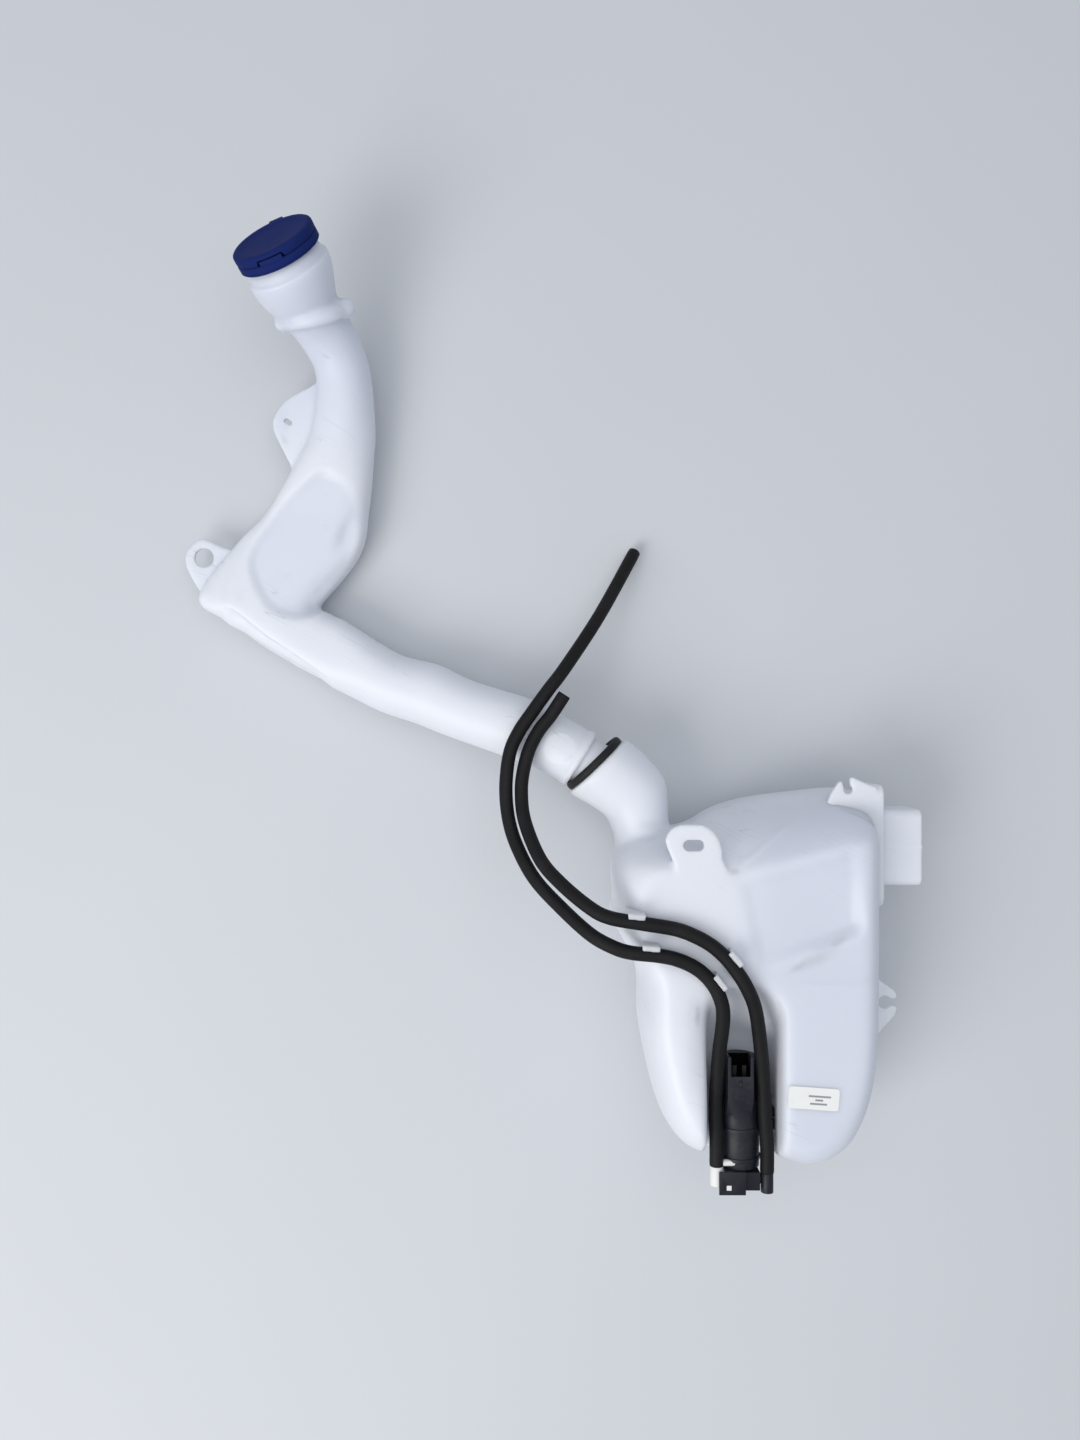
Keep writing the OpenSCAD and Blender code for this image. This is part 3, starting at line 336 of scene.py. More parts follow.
def box_grid(size, r, steps=6):
    """Rounded rectangle outline, counterclockwise: four quarter circles about the inset corners."""
    a = np.radians(np.linspace(0, 90, steps))
    x, y = size[0] / 2 - r, size[1] / 2 - r
    corners = [(x, y, 0), (-x, y, 90), (-x, -y, 180), (x, -y, 270)]
    spins = [(cx, cy, a + math.radians(t)) for cx, cy, t in corners]
    return np.vstack([np.column_stack([cx + r * np.cos(b), cy + r * np.sin(b)]) for cx, cy, b in spins])


def side_prism(name, outline, x0, x1, y, z):
    """Prism that runs along X: the outline lies in the plane of Y and Z."""
    o = np.asarray(outline, float)
    ends = [np.column_stack([np.full(len(o), x), o[:, 0] + y, o[:, 1] + z]) for x in (x0, x1)]
    return grid_mesh(name, np.stack(ends))


def lathe_grid(profile, steps, seat, turn, tilt):
    """Profile of radius and height turned about the axis that leans by tilt and turn at a seat."""
    profile = np.asarray(profile, float)
    a = turns(steps)
    local = np.stack([profile[:, None, 0] * np.cos(a), profile[:, None, 0] * np.sin(a),
                      np.broadcast_to(profile[:, None, 1], (len(profile), steps))], -1)
    return place(local, seat, turn, tilt)


def place(local, seat, turn, tilt):
    """Points of a leaning frame in the part's frame: turned about X by tilt less a right angle, then about
    Z."""
    spin = Matrix.Rotation(math.radians(turn), 3, "Z") @ Matrix.Rotation(math.radians(tilt - 90), 3, "X")
    return local @ np.array(spin).T + np.asarray(seat, float)


# Meshes


def joined(name, meshes):
    """One mesh from several, with all faces turned outward."""
    work = bmesh.new()
    for mesh in meshes:
        work.from_mesh(mesh)
    bmesh.ops.recalc_face_normals(work, faces=work.faces[:])
    out = bpy.data.meshes.new(name)
    work.to_mesh(out)
    work.free()
    for mesh in meshes:
        bpy.data.meshes.remove(mesh)
    return out


def finished(mesh, *settings):
    """Mesh with modifiers applied: each setting is the modifier's type and its values."""
    holder = bpy.data.objects.new("holder", mesh)
    bpy.context.scene.collection.objects.link(holder)
    for kind, values in settings:
        modifier = holder.modifiers.new(kind.lower(), kind)
        for key, value in values.items():
            setattr(modifier, key, value)
    bpy.context.view_layer.update()
    seen = holder.evaluated_get(bpy.context.evaluated_depsgraph_get())
    out = bpy.data.meshes.new_from_object(seen)
    bpy.data.objects.remove(holder)
    return out


def remeshed(mesh, cell):
    """One closed skin round all the overlapping solids of a mesh."""
    return finished(mesh, ("REMESH", {"mode": "VOXEL", "voxel_size": cell, "use_smooth_shade": True}))


def carved(mesh, cutter):
    """Mesh less another closed mesh."""
    tool = bpy.data.objects.new("cutter", cutter)
    bpy.context.scene.collection.objects.link(tool)
    out = finished(mesh, ("BOOLEAN", {"operation": "DIFFERENCE", "object": tool, "solver": "EXACT"}))
    bpy.data.objects.remove(tool)
    return out


def read_points(mesh, kind="co", scale=MM):
    """Points of a mesh in millimetres."""
    values = np.empty(len(mesh.vertices) * 3)
    mesh.vertices.foreach_get(kind, values)
    return values.reshape(-1, 3) / scale


def read_normals(mesh):
    """Outward directions of a mesh at its points."""
    return read_points(mesh, "normal", 1.0)


def write_points(mesh, points):
    """Moves a mesh's points, given in millimetres."""
    mesh.vertices.foreach_set("co", (points * MM).ravel())
    mesh.update()


def relax(mesh, rounds, hold=None):
    """Softens a skin: in each round every point goes half way to the mean of its neighbours. Hold is a share
    from 0 to 1 for each point that keeps it in place."""
    points = read_points(mesh)
    edges = np.empty(len(mesh.edges) * 2, np.int32)
    mesh.edges.foreach_get("vertices", edges)
    a, b = edges.reshape(-1, 2).T
    count = np.bincount(a, minlength=len(points)) + np.bincount(b, minlength=len(points))
    move = 0.5 if hold is None else 0.5 * (1 - hold(points))[:, None]
    for _ in range(rounds):
        columns = [np.bincount(a, points[b, k], len(points)) + np.bincount(b, points[a, k], len(points))
                   for k in range(3)]
        points = points + move * (np.stack(columns, 1) / count[:, None] - points)
    write_points(mesh, points)
    return mesh


def with_painted_shade(mesh, share):
    """Writes a share from 0 to 1 at each point, for the finish: how much painted shade, a darker cooler tone,
    is laid there.
    """
    mark = mesh.attributes.new("thin", "FLOAT", "POINT")
    mark.data.foreach_set("value", np.clip(share, 0.0, 1.0))
    return mesh


def show(name, mesh, body, slot, material, *nodes):
    """Puts a finished mesh in the scene at the origin, on its body, in place of its solids."""
    mesh.name = name
    mesh.materials.clear()
    mesh.materials.append(material)
    mesh.polygons.foreach_set("use_smooth", np.ones(len(mesh.polygons), bool))
    piece = bpy.data.objects.new(name, mesh)
    bpy.context.scene.collection.objects.link(piece)
    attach(piece, body)
    if nodes:
        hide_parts(*nodes)
    return piece


def rounded_copy(node, width):
    """Merged copy of a solid with its flat faces joined and its sharp edges rounded."""
    work = bmesh.new()
    work.from_mesh(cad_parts[node].data)
    bmesh.ops.remove_doubles(work, verts=work.verts[:], dist=2e-6)
    bmesh.ops.dissolve_limit(work, angle_limit=math.radians(1.5), verts=work.verts[:], edges=work.edges[:])
    mesh = bpy.data.meshes.new(node + "_copy")
    work.to_mesh(mesh)
    work.free()
    mesh = finished(mesh, ("BEVEL", {"width": width, "segments": 2, "limit_method": "ANGLE",
                                     "angle_limit": math.radians(35), "use_clamp_overlap": True}))
    mesh.set_sharp_from_angle(angle=math.radians(38))
    return mesh


# Finishes


def feed(tree, node, values):
    """Sets or links the inputs of a node by name or number."""
    for key, value in values.items():
        if isinstance(value, bpy.types.NodeSocket):
            tree.links.new(value, node.inputs[key])
        else:
            node.inputs[key].default_value = value
    return node


def put(tree, kind, values=None, **settings):
    """Adds a node with its own settings and its inputs."""
    node = tree.nodes.new(kind)
    for key, value in settings.items():
        setattr(node, key, value)
    return feed(tree, node, values or {})


def math_node(tree, operation, a, b=0.0, clamp=False):
    """Result of a sum or other operation on two values."""
    return put(tree, "ShaderNodeMath", {0: a, 1: b}, operation=operation, use_clamp=clamp).outputs[0]


def product(tree, a, b, clamp=False):
    """Product of two values."""
    return math_node(tree, "MULTIPLY", a, b, clamp)


def near(tree, value, middle, reach):
    """One where a value lies within a reach of a middle, and zero elsewhere."""
    return put(tree, "ShaderNodeMath", {0: value, 1: middle, 2: reach}, operation="COMPARE").outputs[0]


def noise(tree, where, scale, detail, **more):
    """Share from 0 to 1 of a noise."""
    values = {"Vector": where, "Scale": scale, "Detail": detail}
    return put(tree, "ShaderNodeTexNoise", {**values, **more}).outputs["Fac"]


def between(tree, value, low, high, kind="LINEAR"):
    """Share from 0 to 1 of the way that a value has gone from low to high."""
    values = {"Value": value, "From Min": low, "From Max": high}
    return put(tree, "ShaderNodeMapRange", values, interpolation_type=kind).outputs[0]


def ranged(tree, value, low, high):
    """A 0 to 1 value spread over another range."""
    return put(tree, "ShaderNodeMapRange", {"Value": value, "To Min": low, "To Max": high}).outputs[0]


def turned(tree, vector, angle):
    """Coordinates turned about Z."""
    values = {"Vector": vector, "Angle": angle}
    return put(tree, "ShaderNodeVectorRotate", values, rotation_type="Z_AXIS").outputs[0]


def blended(tree, share, first, second):
    """Colour between two, by a share from 0 to 1."""
    return put(tree, "ShaderNodeMix", {0: share, 6: first, 7: second}, data_type="RGBA").outputs[2]


def socket_group(name, inputs, outputs):
    """Empty shader node group that takes coordinates and named numbers, or vectors where there is no default.
    Gives the group, what comes in and what goes out."""
    group = bpy.data.node_groups.new(name, "ShaderNodeTree")
    for label, default in {"Vector": None, **inputs}.items():
        kind = "NodeSocketVector" if default is None else "NodeSocketFloat"
        item = group.interface.new_socket(label, in_out="INPUT", socket_type=kind)
        if default is not None:
            item.default_value = default
    for label in outputs:
        group.interface.new_socket(label, in_out="OUTPUT", socket_type="NodeSocketFloat")
    return group, group.nodes.new("NodeGroupInput").outputs, group.nodes.new("NodeGroupOutput").inputs


def grain_group():
    """Fine uneven surface: two sizes of noise added, as a height and as a 0 to 1 share."""
    group, enter, leave = socket_group("Moulded grain", {"Scale": 900.0}, ["Height", "Share"])
    fine = noise(group, enter["Vector"], enter["Scale"], 3.0, Roughness=0.6)
    wide = noise(group, enter["Vector"], product(group, enter["Scale"], 0.06), 2.0)
    total = math_node(group, "ADD", product(group, fine, 0.4), product(group, wide, 0.6))
    group.links.new(total, leave["Height"])
    group.links.new(total, leave["Share"])
    return group


def soil_group():
    """Cloudy dirt: broad noise times finer noise, kept where it passes a level."""
    group, enter, leave = socket_group("Cloudy soil", {"Scale": 25.0, "Level": 0.55, "Amount": 0.3}, ["Mask"])
    broad = noise(group, enter["Vector"], enter["Scale"], 4.0, Roughness=0.6)
    fine = noise(group, enter["Vector"], product(group, enter["Scale"], 9.0), 5.0, Roughness=0.7)
    full = math_node(group, "ADD", enter["Level"], 0.22)
    edge = between(group, broad, enter["Level"], full, "SMOOTHSTEP")
    both = product(group, edge, between(group, fine, 0.35, 0.75))
    group.links.new(product(group, both, enter["Amount"], True), leave["Mask"])
    return group


def shade_and_dirt_mark_group():
    """One soft dark mark, for painted shade and for dirt: the distance in plan from a centre, over a reach
    along and across, broken up by noise."""
    values = {"Centre": None, "Along": 0.02, "Across": 0.01, "Turn": 0.0, "Amount": 0.4}
    group, enter, leave = socket_group("Shade_and_dirt_mark", values, ["Mask"])
    ends = {0: enter["Vector"], 1: enter["Centre"]}
    offset = put(group, "ShaderNodeVectorMath", ends, operation="SUBTRACT").outputs[0]
    spun = turned(group, offset, enter["Turn"])
    parts = put(group, "ShaderNodeSeparateXYZ", {0: spun}).outputs
    x = math_node(group, "DIVIDE", parts[0], enter["Along"])
    y = math_node(group, "DIVIDE", parts[1], enter["Across"])
    reach = math_node(group, "SQRT", math_node(group, "ADD", product(group, x, x), product(group, y, y)))
    broken = noise(group, enter["Vector"], 160.0, 5.0, Roughness=0.7)
    rough = math_node(group, "ADD", reach, product(group, broken, 0.9))
    soft = between(group, rough, 1.35, 0.45, "SMOOTHSTEP")
    group.links.new(product(group, soft, enter["Amount"], True), leave["Mask"])
    return group


def scratch_group():
    """Hairline scratches: thin ridges of a stretched noise, kept only in patches of a broad noise."""
    group, enter, leave = socket_group("Hairlines", {"Turn": 0.6, "Scale": 60.0, "Amount": 0.3}, ["Mask"])
    spun = turned(group, enter["Vector"], enter["Turn"])
    thin = put(group, "ShaderNodeMapping", {"Vector": spun, "Scale": (0.12, 1.6, 0.5)}).outputs[0]
    wave = noise(group, thin, enter["Scale"], 2.0, Distortion=0.4)
    ridge = math_node(group, "ABSOLUTE", math_node(group, "SUBTRACT", wave, 0.5))
    patch = between(group, noise(group, enter["Vector"], 18.0, 2.0), 0.52, 0.66)
    both = product(group, between(group, ridge, 0.006, 0.0), patch)
    group.links.new(product(group, both, enter["Amount"], True), leave["Mask"])
    return group


EFFECTS = {}


def effect(tree, name, **values):
    """Places a shared effect group in a material."""
    makers = {"grain": grain_group, "soil": soil_group, "shade_and_dirt_mark": shade_and_dirt_mark_group, "scratch": scratch_group}
    if name not in EFFECTS:
        EFFECTS[name] = makers[name]()
    return put(tree, "ShaderNodeGroup", values, node_tree=EFFECTS[name]).outputs


def new_material(name):
    """Material with its shader, its output and the piece's own coordinates."""
    material = bpy.data.materials.new(name)
    material.use_nodes = True
    tree = material.node_tree
    tree.nodes.clear()
    shader = put(tree, "ShaderNodeBsdfPrincipled")
    put(tree, "ShaderNodeOutputMaterial", {"Surface": shader.outputs[0]})
    where = put(tree, "ShaderNodeTexCoord").outputs["Object"]
    material.diffuse_color = (0.8, 0.8, 0.8, 1.0)
    return material, tree, shader, where


def natural_plastic(name, colours, shade_and_dirt_marks):
    """Milky blow-moulded plastic: cloudy wall tone, a darker cooler painted shade tone laid by each point's
    thin share, satin grain, hairlines, and dark marks at given places: painted shade along creases, steps and
    edges, and dirt."""
    material, tree, shader, where = new_material(name)
    # The thin attribute holds each point's painted shade share.
    thin = put(tree, "ShaderNodeAttribute", attribute_name="thin").outputs["Fac"]
    clouds = ranged(tree, noise(tree, where, 14.0, 3.0, Roughness=0.5), 0.0, 0.3)
    share = math_node(tree, "ADD", product(tree, thin, 0.72), clouds)
    tone = blended(tree, share, colours.natural[:], colours.natural_shaded[:])
    grain = effect(tree, "grain", Vector=where, Scale=700.0)
    soil = effect(tree, "soil", Vector=where, Scale=16.0, Level=0.56, Amount=0.16)["Mask"]
    # Each mark darkens toward the dirt colour. Most are painted shade along creases, steps and edges, and the
    # rest are dirt.
    for centre, along_it, across, turn, amount in shade_and_dirt_marks:
        mark = effect(tree, "shade_and_dirt_mark", Vector=where, Centre=tuple(v * MM for v in centre), Along=along_it * MM,
                      Across=across * MM, Turn=math.radians(turn), Amount=amount)["Mask"]
        soil = math_node(tree, "MAXIMUM", soil, mark)
    lines = effect(tree, "scratch", Vector=where, Turn=0.5, Scale=50.0, Amount=0.28)["Mask"]
    soil = math_node(tree, "MAXIMUM", soil, lines)
    rough = ranged(tree, grain["Share"], 0.36, 0.56)
    bump = put(tree, "ShaderNodeBump", {"Height": grain["Height"], "Strength": 0.12, "Distance": 0.0006})
    feed(tree, shader, {
        "Base Color": blended(tree, soil, tone, colours.dirt[:]), "Normal": bump.outputs[0],
        "Roughness": math_node(tree, "ADD", rough, product(tree, soil, 0.25)), "IOR": 1.5,
        "Subsurface Weight": 0.7, "Subsurface Radius": (1.0, 0.97, 0.95), "Subsurface Scale": 0.009})
    return material


def dark_finish(name, colour, dirt, low, high, scale, strength, soil_amount, dust=0.0, gloss=0.35):
    """Black or coloured moulded finish: grain in roughness and height, with light dust in cloudy patches."""
    material, tree, shader, where = new_material(name)
    grain = effect(tree, "grain", Vector=where, Scale=scale)
    soil = effect(tree, "soil", Vector=where, Scale=45.0, Level=0.48, Amount=soil_amount)["Mask"]
    paler = tuple(min(1.0, c * 1.5 + 0.003) for c in colour[:3]) + (1.0,)
    tone = blended(tree, ranged(tree, grain["Share"], 0.0, 0.35), colour[:], paler)
    lines = effect(tree, "scratch", Vector=where, Turn=1.1, Scale=120.0, Amount=dust)["Mask"]
    soil = math_node(tree, "MAXIMUM", soil, lines)
    rough = ranged(tree, grain["Share"], low, high)
    bump = put(tree, "ShaderNodeBump", {"Height": grain["Height"], "Strength": strength, "Distance": 0.0005})
    feed(tree, shader, {
        "Base Color": blended(tree, soil, tone, dirt[:]), "Normal": bump.outputs[0],
        "Roughness": math_node(tree, "ADD", rough, product(tree, soil, 0.4), True),
        "Specular IOR Level": gloss})
    return material


def metal_finish(name, colour, low, high):
    """Bare metal: turned or drawn marks as a stretched noise in roughness, and a slightly uneven tone."""
    material, tree, shader, where = new_material(name)
    drawn = put(tree, "ShaderNodeMapping", {"Vector": where, "Scale": (1.0, 0.05, 1.0)}).outputs[0]
    marks = noise(tree, drawn, 2500.0, 2.0)
    darker = tuple(c * 0.75 for c in colour[:3]) + (1.0,)
    feed(tree, shader, {"Base Color": blended(tree, marks, darker, colour), "Metallic": 1.0,
                        "Roughness": ranged(tree, marks, low, high)})
    return material


def label_finish(name, colours):
    """White sticker film: faint paper tone, cloudy soil and plain short grey bars in three rows."""
    material, tree, shader, where = new_material(name)
    middle = tuple(-v * MM for v in LABEL_AT) + (0.0,)
    flat = put(tree, "ShaderNodeMapping", {"Vector": where, "Location": middle}).outputs[0]
    parts = put(tree, "ShaderNodeSeparateXYZ", {0: turned(tree, flat, math.radians(-LABEL_TURN))}).outputs
    bars = 0.0
    for y, x0, x1 in ((0.0013, -0.003, 0.0095), (-0.0008, 0.0008, 0.0052), (-0.0029, -0.002, 0.0075)):
        mid = near(tree, parts[0], (x0 + x1) / 2, (x1 - x0) / 2)
        row = near(tree, parts[1], y, 0.00055)
        bars = math_node(tree, "MAXIMUM", bars, product(tree, mid, row))
    soil = effect(tree, "soil", Vector=where, Scale=90.0, Level=0.5, Amount=0.18)["Mask"]
    tone = blended(tree, soil, (0.86, 0.87, 0.84, 1.0), colours.dirt[:])
    grain = effect(tree, "grain", Vector=where, Scale=1500.0)["Share"]
    feed(tree, shader, {
        "Base Color": blended(tree, product(tree, bars, 0.75), tone, (0.12, 0.12, 0.14, 1.0)),
        "Roughness": ranged(tree, grain, 0.3, 0.5)})
    return material


def floor_finish(name):
    """Plain pale floor with a barely uneven tone."""
    material, tree, shader, where = new_material(name)
    tone = blended(tree, noise(tree, where, 3.0, 2.0), (0.60, 0.62, 0.65, 1.0), (0.64, 0.66, 0.69, 1.0))
    feed(tree, shader, {"Base Color": tone, "Roughness": 0.75})
    return material


# Pieces


def hose_mesh(path, outer, inner, sides):
    """Hollow tube: rings square to the path, outward along it at the outer radius and back at the bore, with
    the cut edges taken off by a tenth of the wall."""
    step = np.gradient(path, axis=0)
    step /= np.linalg.norm(step, axis=1)[:, None]
    wide = np.cross(step, (0.0, 0.0, 1.0))
    wide /= np.linalg.norm(wide, axis=1)[:, None]
    high = np.cross(wide, step)
    a = turns(sides)
    ring = np.cos(a)[None, :, None] * wide[:, None, :] + np.sin(a)[None, :, None] * high[:, None, :]
    edge = 0.1 * (outer - inner)
    shrink = np.ones(len(path)) * outer
    shrink[[0, -1]] -= edge
    skin = path[:, None, :] + shrink[:, None, None] * ring
    bore = path[:, None, :] + inner * ring
    return grid_mesh("hose", np.concatenate([skin, bore[::-1]]), loop=True)


def tank_front(x, y):
    """Height of the tank's front: the face less a shoulder that falls past a line, by t squared over t plus
    7."""
    edge = np.interp(x, [-90, -12, 48, 90], [65, 62, 77, 84])
    t = np.maximum(0.0, y - edge)
    return TANK_DEPTH - t * t / (t + 7.0)


def tank_body():
    """Closed skin of the body: the outline scaled by a share of its size, at a height that goes from the
    parting plane to the front or the back by a crown that is flat in the middle and a superellipse at the
    edge."""
    outline = spline_loop(TANK_OUTLINE, 8)
    edge = 1 - np.linspace(0, 1, 22) ** 2 * (1 - FLAT_SHARE)
    front = np.concatenate([edge, np.linspace(FLAT_SHARE, 0.06, 22)[1:]])
    back = front[::-1][:-1]

    def rows(share, top):
        xy = share[:, None, None] * outline[None]
        t = np.clip((share - FLAT_SHARE) / (1 - FLAT_SHARE), 0, 1)
        crown = (1 - t ** EDGE_POWER) ** (1 / EDGE_POWER)
        far = tank_front(xy[..., 0], xy[..., 1]) if top else 0 * xy[..., 0]
        z = PARTING_Z + (far - PARTING_Z) * crown[:, None]
        return np.concatenate([xy, z[..., None]], 2)

    return grid_mesh("tank_body", np.concatenate([rows(back, False), rows(front, True)]))


def valley_cutter():
    """Stack of outlines for the pump valley: each is a straight run with a round head that slopes up to the
    front, wider with height."""
    low = VALLEY_FLOOR
    rows = [(low, -26.5, 7.5, -38), (low + 1.4, -28.3, 9.3, -35), (low + 5, -29, 10.2, -31),
            (TANK_DEPTH - 5, -30.5, 11.2, -2.5), (TANK_DEPTH - 1, -33, 12.4, 1.5),
            (TANK_DEPTH + 0.5, -38, 14.5, 6), (TANK_DEPTH + 20, -38, 14.5, 6)]
    a = np.radians(np.linspace(0, 90, 16))
    rings = []
    for z, left, right, head in rows:
        r = (right - left) * 0.42
        x = np.concatenate([[right], right - r + r * np.cos(a), left + r + r * np.cos(a + np.pi / 2), [left]])
        bow = head - r + r * np.sin(np.concatenate([a, a + np.pi / 2]))
        y = np.concatenate([[VALLEY_END], bow, [VALLEY_END]])
        rings.append(np.column_stack([x, y, np.full(len(x), z)]))
    return grid_mesh("valley", np.stack(rings))


def inside_share(points, corners, soft):
    """Share from 0 outside a convex outline to 1 inside: the product over its edges of a smooth step of the
    distance to the edge."""
    corners = np.asarray(corners, float)
    ahead = np.roll(corners, -1, 0) - corners
    normal = np.column_stack([-ahead[:, 1], ahead[:, 0]]) / np.linalg.norm(ahead, axis=1)[:, None]
    distance = np.einsum("pk,ek->pe", points[:, :2], normal) - np.einsum("ek,ek->e", corners, normal)[None]
    return np.prod(ease(-soft / 2, soft / 2, distance), axis=1)


def tank_relief(points):
    """Relief of the tank front, only on its upper side: the sunk panel whose depth grows toward the rail, the
    low ridge from the strap lug to the corner, the faint step across the right lobe, and the soft roll of the
    left lobe into the valley."""
    x, y, z = points.T
    upper = ease(72, 84, z)
    panel = inside_share(points, [(-11, 58), (-2, 13), (54, 32), (51, 76)], 9.0)
    depth = panel * (1.2 + 4.0 * ease(-15, 55, x) * ease(80, 30, y))
    across = ridge_line(points, [(-14, 67), (0, 77), (14, 88), (24, 93)])
    crease = 0.9 * np.exp(-(across / 1.4) ** 2) * ease(-16, -8, x) * ease(24, 14, x)
    step = 0.7 * ease(0.5, 3.5, y) * ease(20, 12, y) * ease(8, 34, x)
    roll = 2.6 * ease(-47, -33, x) ** 1.6 * ease(-24, -30, x) * ease(4, -14, y) * ease(-75, -40, y)
    return points - np.column_stack([0 * x, 0 * x, upper * (depth + step + roll - crease)])


def tank_plates():
    """Hook, fork, rail, guide block, parting flange and hose tabs as simple solids."""
    a = np.radians(np.linspace(34, 326, 32))
    seat = HOOK_SEAT_R * np.column_stack([np.cos(a), np.sin(a)])
    hook = np.vstack([[(-16, 16), (-4, 14), (6, 7), (7.2, 4.6), (7.2, 3), (6.2, 2.2)], seat,
                      [(6.2, -2.2), (7.2, -3), (7.2, -4.6), (6, -8), (-4, -19), (-16, -21)]]) + HOOK_AT
    meshes = [prism_mesh("hook", hook[::-1], PARTING_Z - HOOK_T / 2, PARTING_Z + HOOK_T / 2)]
    b = np.radians(np.linspace(63, -190, 24))
    notch = FORK_NOTCH_R * np.column_stack([np.cos(b), np.sin(b)]) + FORK_AT
    right = [(60, 90), (71, 86), (71, 111), (66, 112.6), (57.6, 116.4), (56.4, 116.8), (55.8, 116)]
    left = [(51.2, 113.6), (50.4, 114.4), (49, 113.6), (44.6, 107), (42.4, 102)]
    meshes.append(prism_mesh("fork", np.vstack([right, notch, left]), SHELF_Z - HOOK_T, SHELF_Z))
    meshes.append(side_prism("rail", box_grid((71.4, 50), 6), 69, 75.5, 76.4, PARTING_Z))
    meshes.append(side_prism("guide", box_grid((45, 36), 5), 69, 100, 74.6, PARTING_Z))
    meshes.append(side_prism("seam", box_grid((1.6, 36.8), 0.5), 75, 100.2, 75.2, PARTING_Z))
    flash = [(65, -10), (80, -10), (80, 60), (65, 60)]
    meshes.append(prism_mesh("flash", flash, PARTING_Z - 0.9, PARTING_Z + 0.9))
    return meshes + [hose_tab(*spot) for spot in TAB_SPOTS]


def hose_tab(x, y, turn):
    """Tab beside a hose: its side outline, a post with a hooked head, drawn along the hose."""
    side = np.array([(4.5, -15), (4.5, 8.8), (2.2, 8.8), (2.2, 9.4), (2.9, 9.9), (4.9, 9.9), (5.7, 9.1),
                     (6, -15)])
    a = math.radians(turn + 90)
    across = np.array([math.cos(a), math.sin(a), 0.0])
    ahead = np.array([math.sin(a), -math.cos(a), 0.0])
    row = side[:, :1] * across + side[:, 1:] * np.array([0.0, 0.0, 1.0]) + np.array([x, y, TANK_DEPTH])
    return grid_mesh("tab", np.stack([row - 5 * ahead, row + 5 * ahead]))


def lug_hold(points):
    """Share of each point that stays in place while the tank is softened: the strap lug past its foot."""
    x, y, z = points.T
    return 0.85 * ease(60, 68, y) * ease(-60, -57, x) * ease(-14, -20, x) * ease(86, 89, z)


def tank_mesh(cell):
    """The tank: the carved body, the neck and the strap lug in one soft skin with the relief of its front.
    The slot of the lug is cut last."""
    shelf = prism_mesh("shelf", SHELF_OUTLINE[::-1], SHELF_Z, TANK_DEPTH + 20)
    body = carved(carved(tank_body(), valley_cutter()), shelf)
    neck = grid_mesh("neck", section_grid(spline_rows(NECK_SECTIONS, 10), 72))
    lug = prism_mesh("lug", ray_outline(LUG_OUTLINE, LUG_SLOT, 96), TANK_DEPTH - 3.6, TANK_DEPTH + 0.35)
    skin = relax(remeshed(joined("tank_core", [body, neck, lug]), cell), 14, lug_hold)
    write_points(skin, tank_relief(read_points(skin)))
    relax(skin, 2, lug_hold)
    slot = slot_outline(LUG_SLOT, 11.8, 6.6, 0, 96)
    skin = carved(skin, prism_mesh("slot", slot, TANK_DEPTH - 6, TANK_DEPTH + 5))
    skin.set_sharp_from_angle(angle=math.radians(50))
    # Painted shade: a darker cooler tone on the front that grows toward the right. It is kept off the valley
    # head so that the valley is painted lighter there, standing in for light through the plastic.
    x, y, z = read_points(skin).T
    valley = ease(8, -4, y) * ease(18, 12, x) * ease(95, 92, z)
    return with_painted_shade(skin, 0.85 * ease(-26, 14, x) * ease(50, 75, z) * (1 - valley))


def plates_mesh(cell):
    """The tank's hook, fork, rail, block and tabs as one skin with its edges rounded by a few rounds of
    softening."""
    return relax(remeshed(joined("plates", tank_plates()), cell), 5)


def outline_reach(points, centre, outline):
    """Distance from a centre in plan as a share of the distance to a closed outline the same way."""
    rim = ray_outline(outline, centre, 180) - np.asarray(centre)
    offset = points[:, :2] - np.asarray(centre)
    angle = np.arctan2(offset[:, 1], offset[:, 0])
    return np.hypot(*offset.T) / np.interp(angle, turns(180), np.hypot(*rim.T), period=2 * np.pi)


def ridge_line(points, line):
    """Signed distance in plan to a line of points read over X, positive above it."""
    line = np.asarray(line, float)
    slope = np.interp(points[:, 0], line[:, 0], np.gradient(line[:, 1], line[:, 0]))
    return (points[:, 1] - np.interp(points[:, 0], line[:, 0], line[:, 1])) / np.sqrt(1 + slope ** 2)


def head_reach(points):
    """Distance of each point up the head's axis from the seat of the cap, and off that axis."""
    axis = along((0, 0, 0), HEAD_TURN, HEAD_TILT, 1.0)
    offset = points - np.asarray(CAP_SEAT)
    up = offset @ axis
    return up, np.linalg.norm(offset - up[:, None] * axis, axis=1)


def flange_hold(points):
    """Share of each point that stays while the flange is softened: all but the zone of the flange."""
    up = head_reach(points)[0]
    return 1 - ease(-50, -46, up) * ease(-27, -31, up)


def corner_hold(points):
    """Share of each point that stays while the inner corner of the knee is softened: less near it."""
    return 1 - np.exp(-((points[:, 0] + 266) ** 2 + (points[:, 1] - 219) ** 2) / 13 ** 2)


def ear_mesh(x):
    """Rounded lobe of the flange: an egg of rings, at a distance along the flange."""
    t = turns(32)
    p = np.radians(np.linspace(-86, 86, 18))[:, None]
    height = 6.2 * np.sin(p) - 0.2 + 0 * t
    rings = np.stack([x + 4.8 * np.cos(t) * np.cos(p), 5.2 * np.sin(t) * np.cos(p), height], -1)
    return grid_mesh("ear", place(rings, *FLANGE_FRAME))


